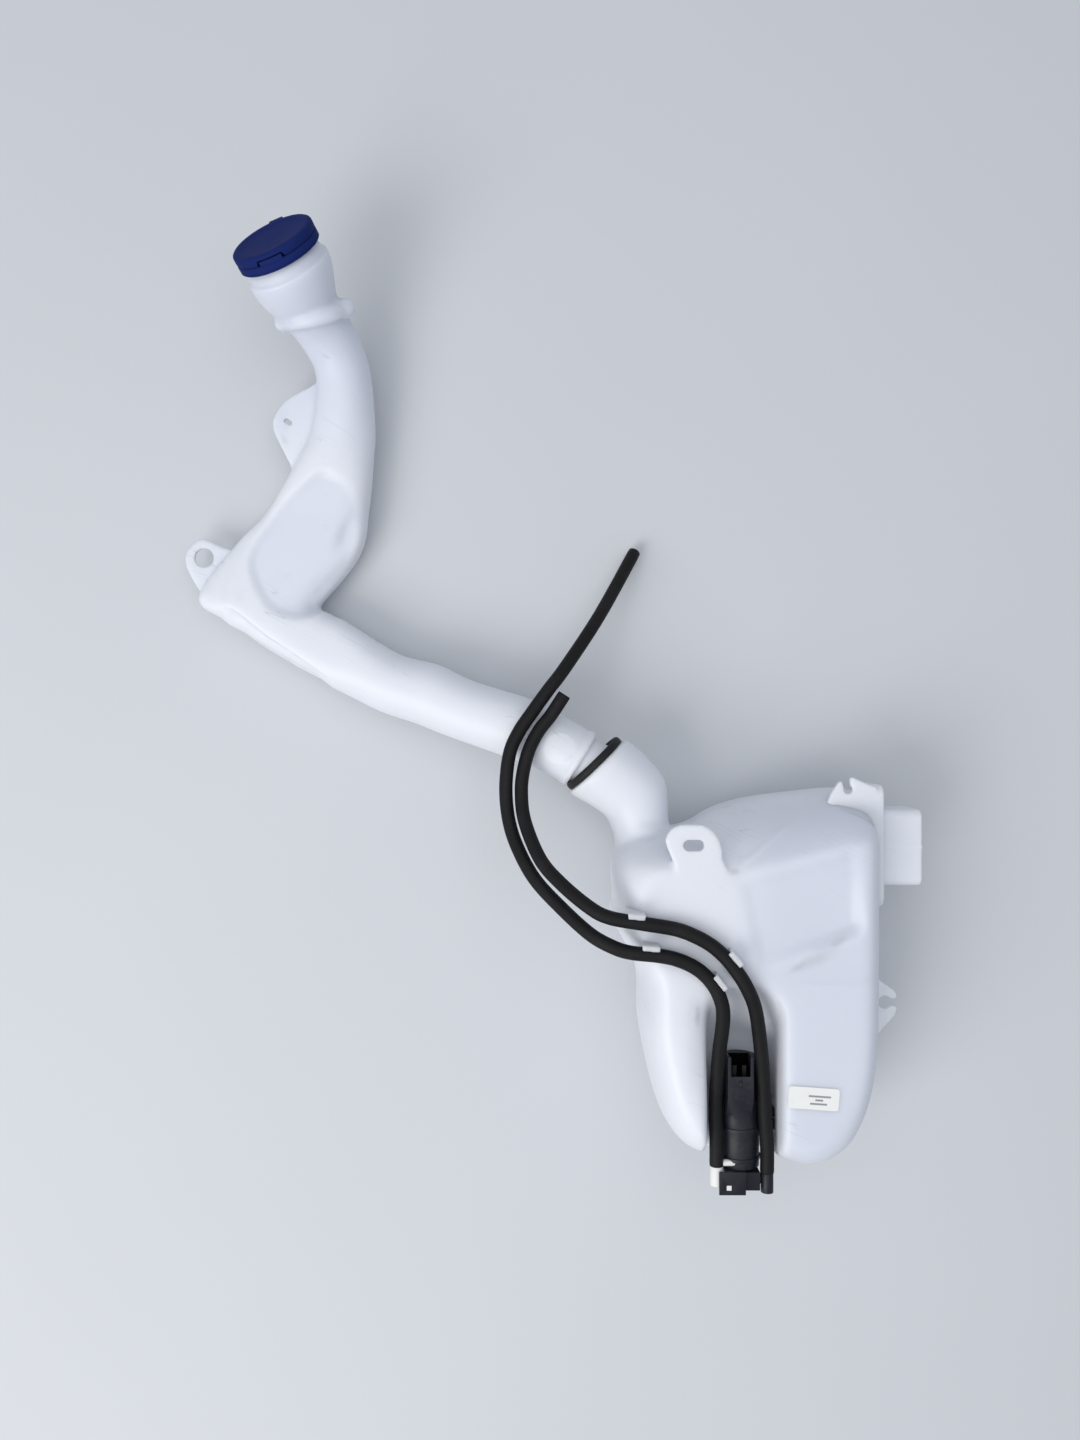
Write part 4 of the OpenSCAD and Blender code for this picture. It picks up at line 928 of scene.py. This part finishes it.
def filler_relief(points, normals):
    """Relief of the filler tube, pushed in along the surface: the sunk panel of the knee inside its outline,
    the dent and ridge at its right, the groove along the lower edge, the fold at the inner corner, the band
    under the cap and the faint oval near the neck."""
    x, y, z = points.T
    upper = ease(20, 30, z)
    reach = outline_reach(points, KNEE_MIDDLE, KNEE_PANEL)
    panel = 2.6 * ease(1.05, 0.86, reach) * upper * ease(-226, -262, x)
    u = (x + 244) * 0.42 + (y - 266) * 0.91
    v = -(x + 244) * 0.91 + (y - 266) * 0.42
    dent = 2.6 * np.exp(-(u / 11) ** 2 - (v / 5) ** 2) * upper
    ridge = 1.2 * np.exp(-(u / 10) ** 2 - ((v + 9) / 4) ** 2) * upper
    across = ridge_line(points, GROOVE_LINE)
    run = ease(-321, -309, x) * ease(-252, -270, x) * ease(8, 16, z)
    groove = 3.0 * ease(8.5, 6.5, across) * ease(-9, 0, across) * run
    a = math.radians(-38)
    p = (x + 248) * math.cos(a) + (y - 216) * math.sin(a)
    q = -(x + 248) * math.sin(a) + (y - 216) * math.cos(a)
    fold = 0.7 * np.exp(-(q / 2.2) ** 2) * ease(-16, -6, p) * ease(14, 4, p) * upper
    up, off = head_reach(points)
    band = 1.2 * ease(-8.1, -7.2, up) * ease(40, 30, off)
    oval = np.abs(np.hypot((x + 113) * 0.52 + (y - 133) * -0.85, ((x + 113) * 0.85 + (y - 133) * 0.52)) - 9.0)
    lines = -0.35 * ease(1.4, 0.6, oval) * ease(40, 48, z) * ease(-128, -124, x)
    depth = panel + dent - ridge + groove + fold + band + lines
    return points - depth[:, None] * normals


def filler_mesh(cell):
    """The filler tube: its sections in one soft skin with the flange, web and knee lug blended in."""
    rows = spline_rows(FILLER_SECTIONS, 10)
    power = 2.0 + 1.1 * ease(330, 290, rows[:, 1]) * ease(-225, -262, rows[:, 0])
    tube = grid_mesh("tube", section_grid(rows, 80, power))
    skin = relax(remeshed(tube, cell), 10)
    spigot = grid_mesh("spigot", section_grid(spline_rows(SPIGOT_SECTIONS, 8), 80))
    collar = grid_mesh("collar", section_grid([(-103.5, 128, 41, 58, 0, 18.6, 18.6),
                                               (-100, 126, 41.5, 58, 0, 18.4, 18.4)], 80))
    ears = slot_outline((0, 0), 49, 13, 0, 96)
    reach = np.hypot(*ears.T)
    far = ears / reach[:, None] * ((reach ** 10 + 20.5 ** 10) ** 0.1)[:, None]
    rolled = ((0.9, -4.4), (0.96, -3.6), (1, -1.8), (1, 0.8), (0.96, 2.4), (0.9, 3.6), (0.82, 4.6),
              (0.74, 5.2))
    layers = [np.column_stack([far * s, np.full(96, h)]) for s, h in rolled]
    flange = grid_mesh("flange", place(np.stack(layers), *FLANGE_FRAME))
    web = prism_mesh("web", ray_outline(WEB_OUTLINE, WEB_SLOT, 144), 21.3, 24.7)
    lug = prism_mesh("knee_lug", ray_outline(KNEE_LUG, KNEE_HOLE, 128), 16.3, 19.7)
    solids = [skin, spigot, collar, flange, ear_mesh(-19.4), ear_mesh(19.4), web, lug]
    skin = relax(remeshed(joined("filler_skin", solids), cell), 4)
    relax(skin, 14, flange_hold)
    relax(skin, 40, corner_hold)
    write_points(skin, filler_relief(read_points(skin), read_normals(skin)))
    relax(skin, 1)
    slot = prism_mesh("slot", slot_outline(WEB_SLOT, 5.6, 3.2, -33, 72), 15, 30)
    hole = prism_mesh("hole", slot_outline(KNEE_HOLE, 12.4, 12.39, 0, 72), 10, 26)
    skin = carved(carved(skin, slot), hole)
    skin.set_sharp_from_angle(angle=math.radians(50))
    # Painted shade: the darker cooler tone in the sunk knee panel. The same tone is also laid toward the cap
    # end of the tube and on the low plates left of the knee.
    points = read_points(skin)
    x, y, z = points.T
    knee = ease(1.02, 0.85, outline_reach(points, KNEE_MIDDLE, KNEE_PANEL)) * ease(20, 30, z)
    plates = ease(26, 24, z) * ease(12, 15, z) * ease(-280, -284, x)
    return with_painted_shade(skin, 0.45 * knee + ease(300, 370, y) + 0.5 * plates)


def pump_ribs_mesh():
    """Two bracket ribs that stand out from the motor under the rear hose, and the raised bar on the socket
    body."""
    ribs = [side_prism("rib", box_grid((5, 5), 0.8), 0.0, 10.3, y, 74.2) for y in (-76.4, -83.6)]
    bar = box_grid((1.4, 3.6), 0.6) + (-11.3, -56.0)
    return joined("pump_ribs", ribs + [prism_mesh("bar", bar, 88.0, 89.0)])


def socket_shade_sheet_mesh():
    """Painted shade sheet in the plug socket: a thin near-black rectangle just off its inner wall, standing
    in for the shade deep in the socket.
    """
    outline = [(-17.2, -55.9), (-5.4, -55.9), (-5.4, -41.2), (-17.2, -41.2)]
    return prism_mesh("socket_shade_sheet", outline, 78.82, 78.95)


def cross_pipe_mesh():
    """White cross pipe of the valve: rings along X whose radius closes in at the free end."""
    a = turns(24)
    rows = [np.column_stack([np.full(24, x), -103.4 + r * np.cos(a), 81.0 + r * np.sin(a)])
            for x, r in ((-21.5, 1.9), (-14.0, 1.9), (-13.0, 1.6), (-12.6, 0.9))]
    return grid_mesh("cross_pipe", np.stack(rows))


def lid_mesh(steps):
    """Lid: a turned profile with a crowned top ring, a rounded edge, a wall that is cut away over the hinge
    strap, and a plug skirt inside."""
    profile = np.array([(0.01, 10.2), (8, 10.2), (19.5, 10.2), (20.5, 10.5), (22.6, 10.5), (23.9, 10.3),
                        (24.7, 9.7), (25, 8.9), (25, 7.2), (25, 6.0), (24.45, 5.15), (23.2, 5.15),
                        (23.2, 8.7), (19.1, 8.7), (19.1, -0.6), (18.8, -0.9), (17.7, -0.9), (17.7, 8.7),
                        (0.01, 8.7)])
    a = turns(steps)
    off = np.abs(np.mod(a - np.radians(HINGE_SIDE) + np.pi, 2 * np.pi) - np.pi) * CAP_R
    height = np.repeat(profile[:, 1:], steps, 1)
    wall = ((profile[:, 0] > 23) & (profile[:, 1] < 8))[:, None]
    height = np.where(wall & (off < 8.5)[None, :], np.maximum(height, 8.3), height)
    radius = np.repeat(profile[:, :1], steps, 1)
    local = np.stack([radius * np.cos(a), radius * np.sin(a), height], -1)
    return grid_mesh("lid", place(local, *CAP_FRAME))


def lid_tab_mesh():
    """Lift tab: a small rounded block on the lid's edge opposite the hinge."""
    side = math.radians(HINGE_SIDE + 180)
    out = np.array([math.cos(side), math.sin(side), 0.0])
    across = np.array([-math.sin(side), math.cos(side), 0.0])
    loop = box_grid((9, 2.2), 0.8)
    rows = [out * r + across * loop[:, :1] * s + np.array([0, 0, 1.0]) * (loop[:, 1:] * s + 9.1)
            for r, s in ((23.8, 1.0), (26.6, 1.0), (27.1, 0.85), (27.2, 0.6))]
    return grid_mesh("lid_tab", place(np.stack(rows), *CAP_FRAME))


def ring_mesh(steps):
    """Snap ring: a turned closed profile with rounded outer edges and a fine groove near its foot."""
    profile = np.array([(22.2, 0.0), (24.6, 0.0), (25, 0.4), (25, 1.0), (24.75, 1.15), (24.75, 1.35),
                        (25, 1.5), (25, 4.2), (24.45, 4.9), (20.1, 4.95), (20.0, 4.8), (20.0, 3.8),
                        (22.2, 3.8)])
    return grid_mesh("ring", lathe_grid(profile, steps, *CAP_FRAME), loop=True)


def strap_mesh():
    """Hinge strap: a thin bowed plate that stands on the ring in the notch of the lid."""
    t = np.radians(HINGE_SIDE + np.linspace(-16, 16, 24))
    rows = [np.column_stack([r * np.cos(t), r * np.sin(t), np.full(len(t), z)]) for r, z in
            ((24.0, 4.9), (24.95, 4.9), (24.95, 7.2), (24.7, 7.5), (24.25, 7.5), (24.0, 7.2))]
    grid = np.swapaxes(np.stack(rows), 0, 1)
    return grid_mesh("strap", place(grid, *CAP_FRAME))


def seal_mesh(steps):
    """Rubber seal: a turned closed profile with a rounded lip outside the mouth and ribs on its plug."""
    profile = np.array([(14.7, -12), (18.8, -12), (19.8, -10.4), (19.5, -8.5), (19.8, -6.6), (19.5, -4.8),
                        (19.8, -3), (19.8, 0.06), (21.1, 0.06), (21.4, 0.6), (21.4, 2.7), (21.0, 3.7),
                        (20.2, 4.4), (19.2, 4.5), (18.6, 4.1), (18.2, 3.6), (14.9, -0.5), (14.7, -1.0)])
    return grid_mesh("seal", lathe_grid(profile, steps, MOUTH, MOUTH_TURN, 0), loop=True)


def label_mesh():
    """Sticker: a thin rounded rectangle whose rows shrink to its middle, closed below."""
    loop = box_grid((28.5, 12.4), 1.6, 8)
    turn = math.radians(LABEL_TURN)
    spin = np.array([(math.cos(turn), math.sin(turn)), (-math.sin(turn), math.cos(turn))])
    rows = []
    for share, z in ((0.02, 0.06), (1.0, 0.06), (1.002, 0.2), (0.995, 0.3), (0.6, 0.3), (0.2, 0.3),
                     (0.02, 0.3)):
        flat = (loop * share) @ spin + LABEL_AT
        rows.append(np.column_stack([flat, np.full(len(flat), TANK_DEPTH + z)]))
    return grid_mesh("label", np.stack(rows))


# Operators


def sizes():
    return bpy.context.scene.reservoir_sizes


def colours():
    return bpy.context.scene.reservoir_colours


class RESERVOIR_OT_stage(bpy.types.Operator):
    """Sets the camera over the part, the pale floor and the soft light from the lower left"""
    bl_idname = "reservoir.stage"
    bl_label = "Stage"

    def execute(self, context):
        scene = context.scene
        data = bpy.data.cameras.new("camera")
        data.sensor_width = SENSOR
        data.lens = FOCAL_SHARE * SENSOR
        data.clip_start = 0.01
        camera = bpy.data.objects.new("camera", data)
        camera.location = CAMERA_AT
        scene.collection.objects.link(camera)
        scene.camera = camera
        corners = [(-1, -1), (1, -1), (1, 1), (-1, 1)]
        mesh = bpy.data.meshes.new("floor")
        mesh.from_pydata([(FLOOR_HALF * x, FLOOR_HALF * y, FLOOR_Z) for x, y in corners], [], [(0, 1, 2, 3)])
        mesh.materials.append(floor_finish("pale_floor"))
        floor = bpy.data.objects.new("floor", mesh)
        scene.collection.objects.link(floor)
        for name, place_it, target, size, power, tint in LIGHTS:
            light = bpy.data.lights.new(name, "AREA")
            light.size = size
            light.energy = power
            light.color = tint
            lamp = bpy.data.objects.new(name, light)
            lamp.location = place_it
            aim = Vector(target) - Vector(place_it)
            lamp.rotation_euler = aim.to_track_quat("-Z", "Y").to_euler()
            lamp.visible_camera = False
            scene.collection.objects.link(lamp)
        world = bpy.data.worlds.new("soft_room")
        world.use_nodes = True
        back = world.node_tree.nodes["Background"]
        back.inputs["Color"].default_value = (0.88, 0.92, 1.0, 1.0)
        back.inputs["Strength"].default_value = 0.43
        scene.world = world
        scene.view_settings.view_transform = "Standard"
        return {"FINISHED"}


class RESERVOIR_OT_hoses(bpy.types.Operator):
    """Makes the two rubber hoses as hollow tubes with bare cut ends along their routes"""
    bl_idname = "reservoir.hoses"
    bl_label = "Hoses"

    def execute(self, context):
        s = sizes()
        material = dark_finish("hose_rubber", colours().rubber, (0.12, 0.11, 0.11, 1.0), 0.5, 0.72, 1200.0,
                               0.2, 0.1, 0.1, 0.2)
        for node, route in (("hose_front", HOSE_FRONT), ("hose_rear", HOSE_REAR)):
            path = spline_rows(route, 8)
            mesh = hose_mesh(path, s.hose_diameter / MM / 2, s.hose_bore / MM / 2, s.hose_sides)
            piece = show(node + "_rubber", mesh, "reservoir", "black_rubber", material, node)
        return {"FINISHED"}


class RESERVOIR_OT_tank(bpy.types.Operator):
    """Makes the tank as one soft moulded skin"""
    bl_idname = "reservoir.tank"
    bl_label = "Tank"

    def execute(self, context):
        # Painted shade: the three marks turned by -29 along the step across the right lobe, and the mark at
        # the right edge of the strap lug. A dirt mark at the left edge of the valley, and a faint darker mark
        # beside the neck.
        shade_and_dirt_marks = [((-36.5, -16.5, 96), 3, 10, 0, 0.3), ((-16, 65, 96), 5, 3.5, 0, 0.3),
                   ((30, 17, 96), 22, 7, -29, 0.22), ((20, 12, 96), 13, 3.5, -29, 0.28),
                   ((41, 25, 96), 10, 3.5, -29, 0.28), ((-60, 88, 60), 12, 5, 0, 0.12)]
        material = natural_plastic("tank_plastic", colours(), shade_and_dirt_marks)
        show("tank_shell", tank_mesh(sizes().tank_cell), "reservoir", "natural_plastic", material, "tank")
        show("tank_plates", plates_mesh(sizes().plate_cell), "reservoir", "natural_plastic", material)
        return {"FINISHED"}


class RESERVOIR_OT_filler(bpy.types.Operator):
    """Makes the filler tube as one soft moulded skin"""
    bl_idname = "reservoir.filler"
    bl_label = "Filler tube"

    def execute(self, context):
        # Painted shade: two thin dark lines along the fold at the knee's inner corner. A faint darker mark on
        # the web.
        shade_and_dirt_marks = [((-245, 218, 36), 8, 1.2, 35, 0.5), ((-241, 214, 36), 7, 0.8, 12, 0.4),
                   ((-285, 325, 24), 6, 3, 60, 0.2)]
        material = natural_plastic("filler_plastic", colours(), shade_and_dirt_marks)
        mesh = filler_mesh(sizes().filler_cell)
        show("filler_shell", mesh, "reservoir", "natural_plastic", material, "filler_tube")
        return {"FINISHED"}


class RESERVOIR_OT_cap(bpy.types.Operator):
    """Makes the snap ring with its strap, and the hinged lid with its lift tab"""
    bl_idname = "reservoir.cap"
    bl_label = "Cap"

    def execute(self, context):
        steps = sizes().turn_steps
        material = dark_finish("cap_navy", colours().navy, (0.08, 0.09, 0.2, 1.0), 0.5, 0.66, 1500.0,
                               0.12, 0.03, 0.03, 0.03)
        ring = joined("ring_skin", [ring_mesh(steps), strap_mesh()])
        ring.set_sharp_from_angle(angle=math.radians(40))
        show("cap_ring_skin", ring, "reservoir", "navy_plastic", material, "cap_ring")
        lid = joined("lid_skin", [lid_mesh(steps), lid_tab_mesh()])
        lid.set_sharp_from_angle(angle=math.radians(40))
        show("cap_lid_skin", lid, "lid", "navy_plastic", material, "cap_lid")
        return {"FINISHED"}


class RESERVOIR_OT_seal(bpy.types.Operator):
    """Makes the rubber seal in the mouth of the neck"""
    bl_idname = "reservoir.seal"
    bl_label = "Neck seal"

    def execute(self, context):
        material = dark_finish("seal_rubber", colours().rubber, (0.14, 0.14, 0.14, 1.0), 0.5, 0.75, 1000.0,
                               0.15, 0.1)
        mesh = seal_mesh(sizes().turn_steps)
        show("neck_seal_ring", mesh, "reservoir", "black_rubber", material, "neck_seal")
        return {"FINISHED"}


class RESERVOIR_OT_pump(bpy.types.Operator):
    """Makes the pump housing, the valve block and the two nozzles with rounded moulded edges"""
    bl_idname = "reservoir.pump"
    bl_label = "Pump"

    def execute(self, context):
        c = colours()
        black = dark_finish("pump_black", c.black, (0.15, 0.15, 0.16, 1.0), 0.36, 0.56, 1600.0,
                            0.12, 0.1, 0.08)
        white = dark_finish("nozzle_white", c.white, (0.4, 0.38, 0.35, 1.0), 0.4, 0.55, 1200.0, 0.1, 0.15)
        width = sizes().edge_round
        for node in ("pump_housing", "valve_block", "rear_outlet"):
            show(node + "_moulded", rounded_copy(node, width), "reservoir", "black_plastic", black, node)
        nozzle = rounded_copy("front_outlet", width)
        show("front_outlet_moulded", nozzle, "reservoir", "white_plastic", white, "front_outlet")
        show("pump_ribs", finished(pump_ribs_mesh()), "reservoir", "black_plastic", black)
        # Painted shade: a near-black matt sheet inside the plug socket.
        shade = dark_finish("socket_painted_shade", (0.001, 0.001, 0.001, 1.0), (0.002, 0.002, 0.002, 1.0), 0.8, 0.9,
                            1600.0, 0.05, 0.05, 0.0, 0.02)
        show("socket_shade_sheet", finished(socket_shade_sheet_mesh()), "reservoir", "black_plastic", shade)
        pipe = joined("cross_pipe_skin", [cross_pipe_mesh()])
        show("cross_pipe", pipe, "reservoir", "white_plastic", white)
        return {"FINISHED"}


class RESERVOIR_OT_label(bpy.types.Operator):
    """Makes the plain sticker on the right lobe"""
    bl_idname = "reservoir.label"
    bl_label = "Label"

    def execute(self, context):
        mesh = label_mesh()
        mesh.set_sharp_from_angle(angle=math.radians(40))
        show("label_sticker", mesh, "reservoir", "label_film", label_finish("label_film", colours()), "label")
        return {"FINISHED"}


class RESERVOIR_OT_inner(bpy.types.Operator):
    """Gives the pieces inside the pump and under it their finishes"""
    bl_idname = "reservoir.inner"
    bl_label = "Inner pieces"

    def execute(self, context):
        c = colours()
        steel = metal_finish("inner_steel", (0.60, 0.60, 0.62, 1.0), 0.25, 0.45)
        copper = metal_finish("inner_copper", (0.72, 0.42, 0.26, 1.0), 0.25, 0.45)
        bronze = metal_finish("inner_bronze", (0.60, 0.46, 0.25, 1.0), 0.35, 0.5)
        rubber = dark_finish("inner_rubber", c.rubber, (0.1, 0.1, 0.1, 1.0), 0.55, 0.75, 1000.0, 0.1, 0.05)
        white = dark_finish("inner_white", c.white, (0.5, 0.48, 0.45, 1.0), 0.4, 0.55, 1200.0, 0.1, 0.1)
        black = dark_finish("inner_black", c.black, (0.1, 0.1, 0.1, 1.0), 0.4, 0.6, 1500.0, 0.1, 0.05)
        magnet = dark_finish("inner_magnet", (0.08, 0.08, 0.085, 1.0), (0.2, 0.2, 0.2, 1.0), 0.5, 0.7, 1500.0,
                             0.2, 0.1)
        # Painted shade: the tin terminals get a near-black tone that stands in for the shade at the bottom of
        # the plug socket.
        tin = metal_finish("inner_tin", (0.04, 0.04, 0.04, 1.0), 0.6, 0.8)
        kinds = ((steel, ("motor_shaft", "motor_yoke", "armature_core")),
                 (copper, ("armature_windings", "commutator")), (tin, ("terminals",)),
                 (bronze, ("lower_bush", "upper_bush")),
                 (rubber, ("pump_grommet", "valve_diaphragm", "shaft_seal")),
                 (white, ("inlet_strainer", "impeller")), (black, ("chamber_plate", "brush_plate")),
                 (magnet, ("brushes", "field_magnets")))
        for material, nodes in kinds:
            for node in nodes:
                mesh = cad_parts[node].data
                mesh.materials.clear()
                mesh.materials.append(material)
        return {"FINISHED"}


class RESERVOIR_PT_panel(bpy.types.Panel):
    """Lists the pieces of the reservoir in the sidebar"""
    bl_idname = "RESERVOIR_PT_panel"
    bl_label = "Washer fluid reservoir"
    bl_space_type = "VIEW_3D"
    bl_region_type = "UI"
    bl_category = "Reservoir"

    def draw(self, context):
        for operator in OPERATORS:
            self.layout.operator(operator.bl_idname)
        for group in (context.scene.reservoir_sizes, context.scene.reservoir_colours):
            for key in group.__annotations__:
                self.layout.prop(group, key)


OPERATORS = (RESERVOIR_OT_stage, RESERVOIR_OT_hoses, RESERVOIR_OT_tank, RESERVOIR_OT_filler, RESERVOIR_OT_cap,
             RESERVOIR_OT_seal, RESERVOIR_OT_pump, RESERVOIR_OT_label, RESERVOIR_OT_inner)
CLASSES = (ReservoirSizes, ReservoirColours) + OPERATORS + (RESERVOIR_PT_panel,)


def register():
    for cls in CLASSES:
        bpy.utils.register_class(cls)
    bpy.types.Scene.reservoir_sizes = PointerProperty(type=ReservoirSizes)
    bpy.types.Scene.reservoir_colours = PointerProperty(type=ReservoirColours)


def unregister():
    del bpy.types.Scene.reservoir_colours
    del bpy.types.Scene.reservoir_sizes
    for cls in reversed(CLASSES):
        bpy.utils.unregister_class(cls)


def main():
    register()
    bpy.ops.reservoir.stage()
    bpy.ops.reservoir.hoses()
    bpy.ops.reservoir.tank()
    bpy.ops.reservoir.filler()
    bpy.ops.reservoir.cap()
    bpy.ops.reservoir.seal()
    bpy.ops.reservoir.pump()
    bpy.ops.reservoir.label()
    bpy.ops.reservoir.inner()


if __name__ == "__main__":
    main()
